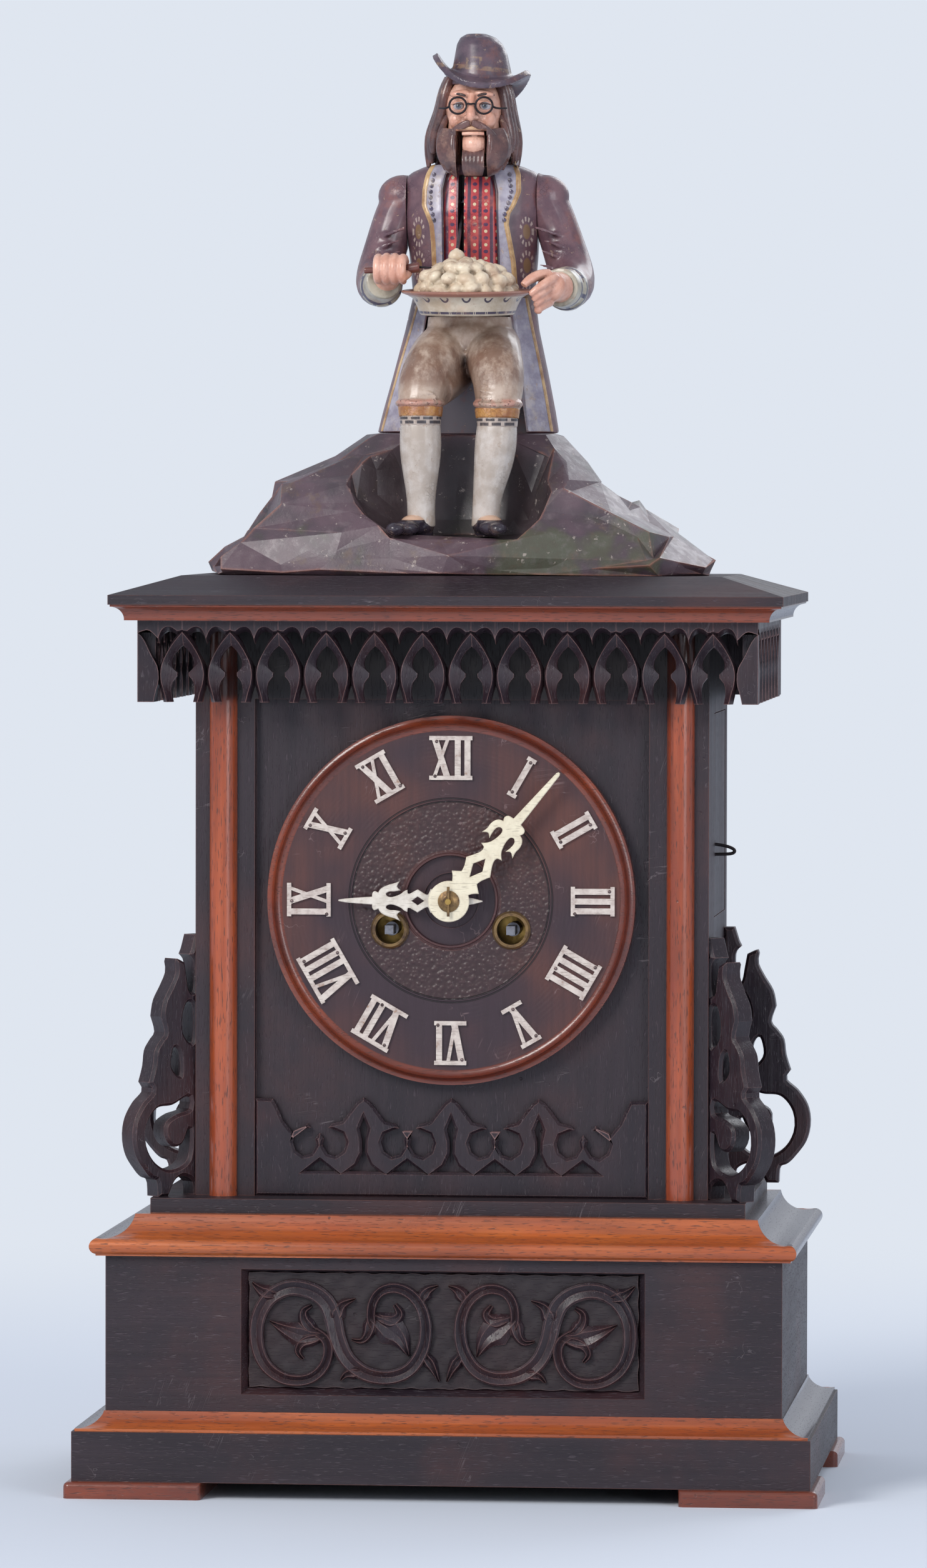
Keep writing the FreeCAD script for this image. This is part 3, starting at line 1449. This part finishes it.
def make_motion_work(at, minute_wheel, minute_pinion, hour_wheel, cannon_y, hour_y, thick):
    fit = float(size.pin_fit)
    post = float(size.pivot_radius) - fit
    x, z = at["motion"]
    hub = bar_y(2.4, hour_y - 0.4, cannon_y + 0.4 + thick, x, z)
    bore = bar_y(post + fit, hour_y - 5, cannon_y + 10, x, z)
    solid = minute_wheel.fuse([minute_pinion, hub]).cut(bore)
    keep(feature("minute_work", solid.removeSplitter()), "motion_wheel")
    x, z = at["centre"]
    pipe = float(size.hour_pipe_radius)
    inner = float(size.centre_arbor_radius) + fit
    front = float(dial_face - size.hour_hand_stand - size.hand_thick)
    tube = bar_y(pipe, front, hour_y + thick, x, z)
    solid = hour_wheel.fuse(tube).cut(bar_y(inner, front - 5, hour_y + 10, x, z))
    keep(feature("hour_work", solid.removeSplitter()), "hour_wheel")


def escape_blank(at, y):
    """The escape wheel: thirty leaning teeth on a crossed out rim."""
    radius = float(size.escape_radius)
    root = radius * 0.84
    points = []
    for i in range(ESCAPE_TEETH):
        start = 2 * math.pi * i / ESCAPE_TEETH
        step = 2 * math.pi / ESCAPE_TEETH
        for r, share in ((root, 0.0), (radius, 0.30), (radius, 0.38), (root, 0.62)):
            points.append((r * math.cos(start + step * share), r * math.sin(start + step * share)))
    windows = spoke_windows(root * 0.86, root * 0.26, 5, root * 0.12, 0)
    x, z = at["escape"]
    return flat_gear(points, x, y, z, 0.9, windows)


def make_escapement(at, wheel_y):
    """The anchor over the escape wheel, the crutch behind the plate and the pendulum on its cock."""
    x, z = at["pallet"]
    ex, ez = at["escape"]
    fit = float(size.pin_fit)
    radius = float(size.escape_radius)
    drop = z - ez
    reach = radius * 0.86
    outline = [
        (-reach * 1.2, -drop * 0.50), (-reach * 0.6, drop * 0.15), (0, drop * 0.25), (reach * 0.6, drop * 0.15),
        (reach * 1.2, -drop * 0.50), (reach * 0.95, -drop * 0.50), (reach * 0.40, -drop * 0.14),
        (-reach * 0.40, -drop * 0.14), (-reach * 0.95, -drop * 0.50),
    ]
    anchor = flat_gear(outline, x, wheel_y - 0.3, z, 1.5)
    for swing in (-5, 0, 5):
        turn = math.radians(swing)
        tool = bar_y(radius + 0.3, wheel_y - 2, wheel_y + 4, x - drop * math.sin(turn), z - drop * math.cos(turn))
        anchor = anchor.cut(tool)
    bar = bar_y(float(size.arbor_radius), float(train_y) + fit, float(back_plate_y) - fit, x, z)
    crutch_y = float(train_end) + 3
    ends = bar_y(float(size.pivot_radius), float(front_plate_y), crutch_y + 1.2, x, z)
    strap = Part.makeBox(3, 1.2, 40, FreeCAD.Vector(x - 1.5, crutch_y, z - 40))
    rod_gap = float(size.pendulum_rod_radius) + 0.1
    fork = Part.makeBox(2 * rod_gap + 3, 7, 2, FreeCAD.Vector(x - rod_gap - 1.5, crutch_y, z - 40))
    notch = Part.makeBox(2 * rod_gap, 7, 4, FreeCAD.Vector(x - rod_gap, crutch_y + 1.6, z - 41))
    solid = anchor.fuse([bar, ends, strap, fork]).cut(notch)
    keep(feature("anchor_solid", solid.removeSplitter()), "pallets")
    make_pendulum(x, z, crutch_y + 5)
    return crutch_y + 5


def make_pendulum(x, z, rod_y):
    length = float(size.pendulum_length)
    bob = float(size.bob_radius)
    low = z - length - bob
    stem = Part.makeCylinder(float(size.pendulum_rod_radius), z - low + 1.6, FreeCAD.Vector(x, rod_y, low - 1.6))
    eye = bar_y(4, rod_y - 1.5, rod_y + 1.5, x, z)
    bore = bar_y(float(size.arbor_radius) + float(size.pin_fit), rod_y - 4, rod_y + 4, x, z)
    half = float(size.bob_thick) / 2
    profile = [(0, -half), (bob * 0.5, -half * 0.9), (bob * 0.85, -half * 0.55), (bob, -half * 0.15),
               (bob, half * 0.15), (bob * 0.85, half * 0.55), (bob * 0.5, half * 0.9), (0, half)]
    points = [FreeCAD.Vector(r, y, 0) for r, y in profile]
    disc = Part.Face(Part.makePolygon(points + points[:1])).revolve(
        FreeCAD.Vector(0, 0, 0), FreeCAD.Vector(0, 1, 0), 360)
    disc.translate(FreeCAD.Vector(x, rod_y, z - length))
    nut = Part.makeCylinder(2.2, 1.5, FreeCAD.Vector(x, rod_y, low - 1.6))
    solid = stem.fuse([eye, disc, nut]).cut(bore)
    keep(feature("pendulum_solid", solid), "pendulum")


def pendulum_cock(at):
    """The arm on the back plate that carries the pendulum's pin."""
    x, z = at["pallet"]
    rod_y = float(train_end) + 8
    arm = Part.makeBox(10, rod_y + 4 - float(train_end), 3, FreeCAD.Vector(x - 5, float(train_end), z + 8))
    leg = Part.makeBox(10, 2, 14, FreeCAD.Vector(x - 5, rod_y + 2, z - 3))
    pin = bar_y(float(size.arbor_radius), rod_y - 2, rod_y + 3, x, z)
    return feature("pendulum_cock", arm.fuse([leg, pin]).removeSplitter())


def hammer_spot():
    return (-float(size.plate_width) / 2 + 14, float(dial_z - size.plate_drop) + 30, float(back_plate_y) - 9)


def hammer_stud():
    x, z, y = hammer_spot()
    return feature("hammer_stud", bar_y(float(size.arbor_radius), y - 2, float(back_plate_y), x, z))


def make_strike():
    """The rod gong on the seat board, and the hammer on its stud beside it."""
    gong_x = -float(size.plate_width) / 2 - 24
    x, z, y = hammer_spot()
    low = float(seat_top)
    height = float(size.gong_height)
    foot = Part.makeBox(24, 30, 16, FreeCAD.Vector(gong_x - 12, y - 15, low))
    stem = Part.makeCylinder(float(size.gong_radius), height + 16, FreeCAD.Vector(gong_x, y, low))
    keep(feature("gong_solid", foot.fuse(stem).removeSplitter()), "gong")
    long = float(size.hammer_head_length)
    head_x = gong_x + float(size.gong_radius) + 1
    head_z = z + 14
    head = Part.makeCylinder(float(size.hammer_head_radius), long, FreeCAD.Vector(head_x, y, head_z),
                             FreeCAD.Vector(1, 0, 0))
    start = FreeCAD.Vector(x, y, z)
    end = FreeCAD.Vector(head_x + long / 2, y, head_z)
    arm = Part.makeCylinder(1.2, start.distanceToPoint(end), start, end - start)
    hub = bar_y(3.5, y - 2, y + 2, x, z)
    bore = bar_y(float(size.arbor_radius) + float(size.pin_fit), y - 9, y + 9, x, z)
    keep(feature("hammer_solid", head.fuse([arm, hub]).cut(bore).removeSplitter()), "hammer")


# Rock and figure

# rings of the carved rock, as (height, left, right, front, back) in shares of its size
ROCK_LEVEL_SHARES = [
    (0.00, 0.487, 0.513, 0.50, 0.50),
    (0.12, 0.462, 0.500, 0.49, 0.49),
    (0.30, 0.418, 0.445, 0.45, 0.46),
    (0.45, 0.380, 0.375, 0.41, 0.42),
    (0.62, 0.330, 0.275, 0.36, 0.38),
    (0.80, 0.235, 0.250, 0.27, 0.34),
    (1.00, 0.185, 0.190, 0.14, 0.30),
]
# the way round a ring, as shares of half its width and half its depth
ROCK_ROUND_SHARES = [
    (1.00, -0.30), (0.97, 0.34), (0.86, 0.88), (0.45, 1.00), (0.05, 0.93), (-0.40, 1.00),
    (-0.84, 0.90), (-1.00, 0.40), (-0.95, -0.25), (-0.88, -0.86), (-0.48, -0.96), (-0.04, -1.00),
    (0.42, -0.93), (0.84, -0.90),
]


def faceted(rings):
    """A solid of plane facets between level rings with the same number of corners."""
    count = len(rings[0])
    faces = []
    for lower, upper in zip(rings, rings[1:]):
        for i in range(count):
            a, b = lower[i], lower[(i + 1) % count]
            c, d = upper[(i + 1) % count], upper[i]
            for corners in ((a, b, c), (a, c, d)):
                faces.append(Part.Face(Part.makePolygon(list(corners) + [corners[0]])))
    for ring in (rings[0], rings[-1]):
        faces.append(Part.Face(Part.makePolygon(ring + [ring[0]])))
    solid = Part.Solid(Part.Shell(faces))
    if solid.Volume < 0:
        solid.reverse()
    return solid


def rock_solid():
    rings = []
    for level, (rise, left, right, front, back) in enumerate(ROCK_LEVEL_SHARES):
        ring = []
        for i, (u, v) in enumerate(ROCK_ROUND_SHARES):
            wave = 0 if level in (0, len(ROCK_LEVEL_SHARES) - 1) else 0.05 * math.sin(2.7 * i + 1.9 * level)
            x = float(size.rock_width) * (right if u > 0 else left) * u * (1 + wave)
            y = float(size.rock_depth) * (back if v > 0 else front) * v * (1 - wave)
            ring.append(FreeCAD.Vector(x, y, float(rock_bottom) + float(size.rock_height) * rise))
        rings.append(ring)
    return faceted(rings)


def frustum(start, end, first, last):
    """A round taper from one point to another."""
    a = FreeCAD.Vector(*start)
    b = FreeCAD.Vector(*end)
    if abs(first - last) < 1e-6:
        return Part.makeCylinder(first, a.distanceToPoint(b), a, b - a)
    return Part.makeCone(first, last, a.distanceToPoint(b), a, b - a)


def orb(x, y, z, radius):
    solid = Part.makeSphere(radius)
    solid.translate(FreeCAD.Vector(x, y, z))
    return solid


def oval_ring(z, x, half, front, back, count=12, power=2.5):
    """A closed smooth curve: a softened rectangle at a height."""
    middle = (front + back) / 2
    reach = (back - front) / 2
    points = []
    for i in range(count):
        turn = 2 * math.pi * i / count
        c, q = math.cos(turn), math.sin(turn)
        u = math.copysign(abs(c) ** (2 / power), c)
        v = math.copysign(abs(q) ** (2 / power), q)
        points.append(FreeCAD.Vector(x + half * u, middle + reach * v, z))
    curve = Part.BSplineCurve()
    curve.interpolate(points, PeriodicFlag=True)
    return Part.Wire(curve.toShape())


def body_loft(levels, x, base):
    """A solid through level ovals: (rise, half width, front, back)."""
    rings = [oval_ring(base + rise, x, half, front, back) for rise, half, front, back in levels]
    return Part.makeLoft(rings, True, False)


def sector(radius, first, last, x, wide, y, z):
    """A slice of a disc across X, between two angles in the plane of Y and Z."""
    points = [FreeCAD.Vector(x - wide / 2, y, z)]
    for i in range(7):
        turn = math.radians(first + (last - first) * i / 6)
        points.append(FreeCAD.Vector(x - wide / 2, y + radius * math.cos(turn), z + radius * math.sin(turn)))
    return Part.Face(Part.makePolygon(points + points[:1])).extrude(FreeCAD.Vector(wide, 0, 0))


def box(x, y, z):
    return Part.makeBox(x[1] - x[0], y[1] - y[0], z[1] - z[0], FreeCAD.Vector(x[0], y[0], z[0]))


def figure_tools(mid, base):
    """The slots and hollows that the moving parts need, shared by coat, head and rock."""
    gap = float(size.hand_clearance)
    lever_x = mid - float(size.slot_shift)
    ly, lz = float(size.lever_pivot_back), base + float(size.lever_pivot_rise)
    sy, sz = float(size.shoulder_back), base + float(size.shoulder_rise)
    wide = float(size.slot_width)
    slot = sector(float(size.lever_reach) + 9, 128, 226, lever_x, wide, ly, lz)
    hub_room = float(size.lever_hub_room)
    hub = frustum((lever_x - wide / 2, ly, lz), (lever_x + wide / 2, ly, lz), hub_room, hub_room)
    bore = frustum((lever_x - 8, ly, lz), (lever_x + 8, ly, lz), 1.2 + float(size.pin_fit), 1.2 + float(size.pin_fit))
    axle = float(size.axle_radius) + float(size.pin_fit)
    rod_x = float(lift_x)
    rod_y = float(lift_y)
    bearing = frustum((mid - 60, sy, sz), (rod_x + 8, sy, sz), axle, axle)
    cavity = box((rod_x - 5.5, rod_x + 5), (sy - 7, sy + 60), (sz - 13, sz + 12))
    rod_bore = Part.makeCylinder(float(size.lift_rod_radius) + gap, 300, FreeCAD.Vector(rod_x, rod_y, base - 120))
    jaw_half = float(size.jaw_width) / 2 + wide
    neck = box((mid - jaw_half, mid + jaw_half), (-60, float(size.jaw_pivot_back) + 6),
               (base + 137, base + float(size.jaw_pivot_rise) + 3.5))
    return {"slot": slot, "hub": hub, "bore": bore, "bearing": bearing, "cavity": cavity,
            "rod": rod_bore, "neck": neck}


def make_rock(tools, base):
    rock = rock_solid()
    floor = float(rock_bottom + size.hollow_floor)
    side = float(size.coat_skirt_width) * 0.64
    corners = [(-side, base + 5), (-side * 0.62, floor), (side * 0.62, floor), (side, base + 5)]
    front = [FreeCAD.Vector(x, -200, z) for x, z in corners]
    back = [FreeCAD.Vector(x * 0.86, -26 if z > floor + 1 else -38, z) for x, z in corners]
    scoop = Part.makeLoft([Part.makePolygon(front + front[:1]), Part.makePolygon(back + back[:1])], True, True)
    keep(feature("rock_solid", rock.cut([scoop, tools["rod"]])), "rock_base")


def make_coat(tools, mid, base):
    levels = [
        (0, 53.5, -22, 45), (14, 51, -18, 47), (34, 46, -11, 46), (62, 41, -7, 43), (84, 41, -7.5, 41),
        (108, 43, -10, 41), (128, 45, -12, 40), (142, 36, -10, 36), (151, 25, -9, 27), (157, 21, -9, 24),
    ]
    centre = float(size.coat_shift)
    coat = body_loft(levels, centre, base)
    plane = float(size.arm_plane)
    side_cuts = [box((centre + plane, centre + 90), (-60, 90), (base + 62, base + 160)),
                 box((centre - 90, centre - plane), (-60, 90), (base + 62, base + 160))]
    names = ("slot", "hub", "bore", "bearing", "cavity", "rod", "neck")
    coat = coat.cut(side_cuts + [tools[n] for n in names])
    keep(feature("coat_solid", coat), "coat")
    return coat


def limb(stations):
    """A smooth limb through round sections: (x, y, z, radius, lean of the section from level)."""
    rings = []
    for x, y, z, radius, lean in stations:
        turn = math.radians(lean)
        normal = FreeCAD.Vector(0, math.sin(turn), math.cos(turn))
        circle = Part.Circle(FreeCAD.Vector(x, y, z), normal, radius)
        rings.append(Part.Wire(circle.toShape()))
    return Part.makeLoft(rings, True, False)


def make_legs(coat, mid, base):
    """Breeches, stockings and shoes: thighs forward over the seat, shins down into the hollow."""
    floor = float(rock_bottom + size.hollow_floor)
    lap = body_loft([(34, 24, -30, 18), (52, 27, -35, 20), (67.8, 25, -31, 16)], mid - 2, base)
    pieces = [lap]
    for side, knee_x, foot_x in ((-1, mid - 28, mid - 27.5), (1, mid + 19, mid + 11)):
        hip_x = mid - 2 + side * 15
        pieces.append(limb([
            (hip_x, -6, base + 50, 18.5, 78),
            ((hip_x + knee_x) / 2, -32, base + 41, 17.2, 62),
            (knee_x, -47, base + 27, 15.6, 35),
            (knee_x, -50, base + 9, 12.5, 4),
            (knee_x + (foot_x - knee_x) * 0.3, -50, base - 8, 11.6, 0),
            (foot_x, -49, floor + 15, 7.7, 0),
            (foot_x, -48, floor + 5, 7.6, 0),
        ]))
        shoe = body_loft([(0, 8.0, -30, 8), (3.0, 8.2, -30, 9), (8.0, 7.4, -22, 8), (11.0, 6.8, -10, 7)], 0, 0)
        shoe.rotate(FreeCAD.Vector(0, 0, 0), FreeCAD.Vector(0, 0, 1), 14 * side)
        shoe.translate(FreeCAD.Vector(foot_x, -47, floor))
        pieces.append(shoe)
    legs = pieces[0].fuse(pieces[1:]).cut(coat)
    keep(feature("legs_solid", largest(legs)), "legs")


def largest(shape):
    return max(shape.Solids, key=lambda solid: solid.Volume)


def hat_solid(mid, base):
    crown = body_loft([(0, 18.5, -17, 20), (3, 18, -17, 19), (16, 15.5, -15, 17), (23, 13.5, -12, 14), (27, 9, -8, 10)],
                      0, 0)
    rings = []
    for half, rise, thick in ((18.0, 0.0, 2.4), (25.0, 1.6, 2.2), (29.0, 6.0, 1.6)):
        rings.append((half, rise, thick))
    profile = [FreeCAD.Vector(0, 0, 0)]
    profile += [FreeCAD.Vector(half, 0, rise) for half, rise, thick in rings]
    profile += [FreeCAD.Vector(half, 0, rise + thick) for half, rise, thick in reversed(rings)]
    profile += [FreeCAD.Vector(0, 0, 2.4)]
    brim = Part.Face(Part.makePolygon(profile + profile[:1])).revolve(
        FreeCAD.Vector(0, 0, 0), FreeCAD.Vector(0, 0, 1), 360)
    hat = crown.fuse(brim)
    hat.rotate(FreeCAD.Vector(0, 0, 0), FreeCAD.Vector(0, 1, 0), 8)
    hat.rotate(FreeCAD.Vector(0, 0, 0), FreeCAD.Vector(1, 0, 0), -6)
    hat.translate(FreeCAD.Vector(mid + 2, 2, base + 205))
    return hat


def make_head(tools, coat, mid, base):
    levels = [
        (146, 17, -14, 22), (153, 22, -22, 26), (166, 25.5, -25.5, 29), (180, 26, -25, 30),
        (195, 24, -23, 28), (208, 20, -18, 23), (213, 14, -12, 16),
    ]
    shape = body_loft(levels, mid, base)
    nose = frustum((mid, -20, base + 195), (mid, -27, base + 182), 2.2, 4.0)
    nose = nose.fuse(orb(mid, -26.5, base + 182.2, 4.0))
    shape = shape.fuse(nose)
    pivot_y = float(size.jaw_pivot_back)
    pivot_z = base + float(size.jaw_pivot_rise)
    half = float(size.jaw_width) / 2
    jaw_box = box((mid - half, mid + half), (-60, pivot_y - 5), (base + 140, pivot_z - 1.2))
    jaw = shape.common(jaw_box)
    lug = frustum((mid - half, pivot_y, pivot_z), (mid + half, pivot_y, pivot_z), 4.0, 4.0)
    neck_bar = box((mid - half, mid + half), (pivot_y - 14, pivot_y), (pivot_z - 9, pivot_z - 1.2))
    pin = frustum((mid - half - 9, pivot_y, pivot_z), (mid + half + 9, pivot_y, pivot_z),
                  float(size.jaw_pin_radius), float(size.jaw_pin_radius))
    jaw = jaw.fuse([lug, neck_bar, pin]).cut([tools["hub"], tools["bearing"]])
    hat = hat_solid(mid, base)
    pin_hole = frustum((mid - half - 9.5, pivot_y, pivot_z), (mid + half + 9.5, pivot_y, pivot_z),
                       float(size.jaw_pin_radius + size.pin_fit), float(size.jaw_pin_radius + size.pin_fit))
    lug_room = frustum((mid - half - 3.6, pivot_y, pivot_z), (mid + half + 3.6, pivot_y, pivot_z), 5.2, 5.2)
    head = shape.cut([tools["neck"], tools["slot"], tools["hub"], pin_hole, lug_room, hat, coat, tools["cavity"],
                      tools["rod"]])
    keep(feature("head_solid", largest(head)), "head")
    keep(feature("jaw_solid", largest(jaw.removeSplitter())), "jaw")
    keep(feature("hat_solid", hat), "hat")
    wire = float(size.wire_width)
    front = -28.2
    high = base + 189
    pieces = [box((mid - 2.4, mid + 2.4), (front, front + wire), (high + 1, high + 1 + wire)),
              box((mid - wire / 2, mid + wire / 2), (front, -22), (high + 1, high + 1 + wire))]
    for side in (-1, 1):
        hoop = [FreeCAD.Vector(r, y, 0) for r, y in ((5, 0), (5 + wire, 0), (5 + wire, wire), (5, wire))]
        lens = Part.Face(Part.makePolygon(hoop + hoop[:1])).revolve(
            FreeCAD.Vector(0, 0, 0), FreeCAD.Vector(0, 1, 0), 360)
        lens.translate(FreeCAD.Vector(mid + side * 7.6, front, high))
        near = FreeCAD.Vector(mid + side * 13.2, front, high)
        temple = strip_between(near, FreeCAD.Vector(mid + side * 22.0, -13, high + 1), wire)
        pieces += [lens, temple]
    wires = pieces[0].fuse(pieces[1:]).cut(head)
    keep(feature("spectacle_wires", largest(wires)), "spectacles")


def strip_between(start, end, wide):
    """A square wire between two points that lie nearly level."""
    side = FreeCAD.Vector(0, 0, wide)
    face = Part.Face(Part.makePolygon([start, end, end + side, start + side, start]))
    return face.extrude(FreeCAD.Vector(0, wide, 0))


def arm_solid(side, mid, plane, bend, wrist, fist, base):
    """A sleeve from shoulder to elbow to cuff, with a closed hand, kept to its own side of a plane."""
    shoulder = (mid + side * (plane + 9), 14.0, base + 130.5)
    elbow = (mid + side * (plane + bend), 10.0, base + 88)
    pieces = [
        orb(*shoulder, 15.0),
        frustum(shoulder, elbow, 15.0, 12.5),
        orb(*elbow, 12.5),
        frustum(elbow, wrist, 12.5, 10.0),
        frustum(wrist, fist, 8.2, 8.8),
        orb(*fist, 8.8),
    ]
    arm = pieces[0].fuse(pieces[1:])
    inner = (mid + plane, mid + 120) if side > 0 else (mid - 120, mid - plane)
    return arm.common(box(inner, (-90, 90), (base + 40, base + 170)))


def make_arms(mid, base, plate_shape, coat):
    plane = float(size.arm_plane)
    gap = float(size.arm_gap)
    sy, sz = float(size.shoulder_back), base + float(size.shoulder_rise)
    centre = float(size.coat_shift)
    right = arm_solid(-1, centre, plane + gap, 18, (mid - 51, -34, base + 90), (mid - 47, -48, base + 95), base)
    axle = float(size.axle_radius)
    rod_x = float(lift_x)
    shaft = frustum((centre - plane - 12, sy, sz), (rod_x + 7.5, sy, sz), axle, axle)
    turn = math.radians(float(size.crank_rest_angle))
    reach = float(size.crank_length)
    pin_y = sy + reach * math.cos(turn)
    pin_z = sz + reach * math.sin(turn)
    web_x = rod_x - 4.8
    web = frustum((web_x, sy, sz), (web_x + 2, sy, sz), 3.6, 3.6)
    web_end = frustum((web_x, pin_y, pin_z), (web_x + 2, pin_y, pin_z), 2.2, 2.2)
    bar = box((web_x, web_x + 2), (0, reach), (-2, 2))
    bar.rotate(FreeCAD.Vector(0, 0, 0), FreeCAD.Vector(1, 0, 0), math.degrees(turn))
    bar.translate(FreeCAD.Vector(0, sy, sz))
    crank_pin = frustum((web_x, pin_y, pin_z), (rod_x + 2.5, pin_y, pin_z), 1.0, 1.0)
    axle_solid = shaft.fuse([web, web_end, bar, crank_pin]).removeSplitter()
    fork_z = base + 96
    fork_y = -48.0
    handle = frustum((mid - 60, fork_y, fork_z), (mid - 29, fork_y, fork_z), 3.0, 2.4)
    tines = frustum((mid - 29, fork_y, fork_z), (mid - 21, fork_y, fork_z + 1.5), 1.2, 0.9)
    fork = handle.fuse(tines).removeSplitter()
    right = right.cut([shaft, fork])
    keep(feature("right_arm_solid", largest(right)), "right_arm")
    keep(feature("fork_solid", fork), "fork")
    keep(feature("axle_solid", axle_solid), "arm_axle")
    left = arm_solid(1, centre, plane, 23, (mid + 51, -28, base + 78), (mid + 44.5, -44, base + 81), base)
    keep(feature("left_arm_solid", largest(left.cut([plate_shape, coat]))), "left_arm")
    slot_y = float(lift_y)
    eye = box((rod_x - 1.5, rod_x + 1.5), (slot_y - 4.2, slot_y + 4.2), (pin_z - 3.2, pin_z + 3.2))
    window = box((rod_x - 3, rod_x + 3), (slot_y - 2.3, slot_y + 2.3), (pin_z - 1.5, pin_z + 1.5))
    stem = Part.makeCylinder(float(size.lift_rod_radius), pin_z - 2 - float(body_top) + 20,
                             FreeCAD.Vector(rod_x, slot_y, float(body_top) - 20))
    rod_solid = stem.cut(window).fuse(eye.cut(window))
    keep(feature("lift_rod_solid", rod_solid.removeSplitter()), "lift_rod")


def make_plate_and_food(mid, base):
    y = -float(size.plate_forward)
    z = base + float(size.plate_rise)
    rim = float(size.plate_rim_radius)
    foot = float(size.plate_base_radius)
    deep = float(size.plate_depth)
    profile = [(0, 0), (foot, 0), (foot + 3.5, 2.5), (rim - 1.5, deep - 3), (rim, deep), (rim - 3, deep),
               (rim - 5, deep - 2.0), (foot, 3.5), (0, 3.5)]
    points = [FreeCAD.Vector(r, 0, h) for r, h in profile]
    dish = Part.Face(Part.makePolygon(points + points[:1])).revolve(
        FreeCAD.Vector(0, 0, 0), FreeCAD.Vector(0, 0, 1), 360)
    dish.translate(FreeCAD.Vector(mid, y, z))
    keep(feature("plate_solid", dish), "plate")
    pile = float(size.pile_radius)
    lumps = [frustum((mid, y, z + 3.5), (mid, y, z + 24), pile - 4, 10)]
    for count, spread, rise, radius in ((7, pile - 10.5, 14.5, 10.2), (3, pile - 21, 23.5, 9.6)):
        for i in range(count):
            turn = 2 * math.pi * (i + 0.5 * (count < 5)) / count
            lumps.append(orb(mid + spread * math.cos(turn), y + spread * math.sin(turn), z + rise, radius))
    food = lumps[0].fuse(lumps[1:])
    ly, lz = float(size.lever_pivot_back), base + float(size.lever_pivot_rise)
    turn = math.radians(float(size.lever_rest_angle))
    reach = float(size.lever_reach)
    lever_x = mid - float(size.slot_shift)
    bx, by, bz = lever_x, ly + reach * math.cos(turn), lz + reach * math.sin(turn)
    small = float(size.dumpling_radius)
    room = small + 0.6
    away = (by + 9 * math.sin(turn), bz - 9 * math.cos(turn))
    pocket = [orb(bx, by, bz, room), frustum((bx, by, bz), (bx, away[0], away[1]), room, room)]
    channel = sector(reach, 196, 222, lever_x, float(size.slot_width), ly, lz)
    food = food.cut(dish).cut(pocket + [channel])
    keep(feature("dumpling_pile", largest(food)), "dumplings")
    mobile = orb(bx, by, bz, small)
    thick = float(size.lever_thick)
    strip_low = box((lever_x - thick / 2, lever_x + thick / 2), (0, reach), (-1.8, 1.8))
    strip_low.rotate(FreeCAD.Vector(0, 0, 0), FreeCAD.Vector(1, 0, 0), float(size.lever_rest_angle))
    strip_low.translate(FreeCAD.Vector(0, ly, lz))
    hub = frustum((lever_x - thick / 2, ly, lz), (lever_x + thick / 2, ly, lz), 3.6, 3.6)
    pin = frustum((lever_x - 7.5, ly, lz), (lever_x + 7.5, ly, lz), 1.2, 1.2)
    lever = strip_low.fuse([hub, pin]).cut(mobile)
    keep(feature("lever_solid", lever.removeSplitter()), "dumpling_lever")
    keep(feature("moving_dumpling_solid", mobile), "moving_dumpling")
    return dish


def make_figure():
    mid = float(size.figure_shift)
    base = float(rock_top)
    tools = figure_tools(mid, base)
    make_rock(tools, base)
    coat = make_coat(tools, mid, base)
    make_legs(coat, mid, base)
    make_head(tools, coat, mid, base)
    dish = make_plate_and_food(mid, base)
    make_arms(mid, base, dish, coat)


# the movement's inner layout comes first, because the case is bored for the lift rod
lift_x = size.figure_shift - size.lift_rod_shift
lift_y = size.shoulder_back + size.crank_length * 0.933

make_feet()
make_plinth()
make_base()
make_base_moulding()
make_sides()
make_front()
make_back()
make_brackets()
make_frieze()
make_cornice()
make_dial()
make_numerals()
hand_front, taper_pin_y = make_hands()
arbors = layout()
make_plates(arbors)
escape_y = make_train(arbors, hand_front, taper_pin_y)
pendulum_y = make_escapement(arbors, escape_y)
make_strike()
make_figure()

doc.recompute()
os.makedirs("parts", exist_ok=True)
faulty = [thing.Name for thing in doc.Objects if "Invalid" in thing.State or "Error" in thing.State]
for thing in sub_parts:
    if thing.Shape.isNull() or not thing.Shape.isValid():
        faulty.append(thing.Label)
if faulty:
    raise RuntimeError("faulty objects: " + ", ".join(faulty))
for thing in sub_parts:
    thing.Shape.exportStep(f"parts/{thing.Label}.step")
print(len(sub_parts), "sub-parts written")
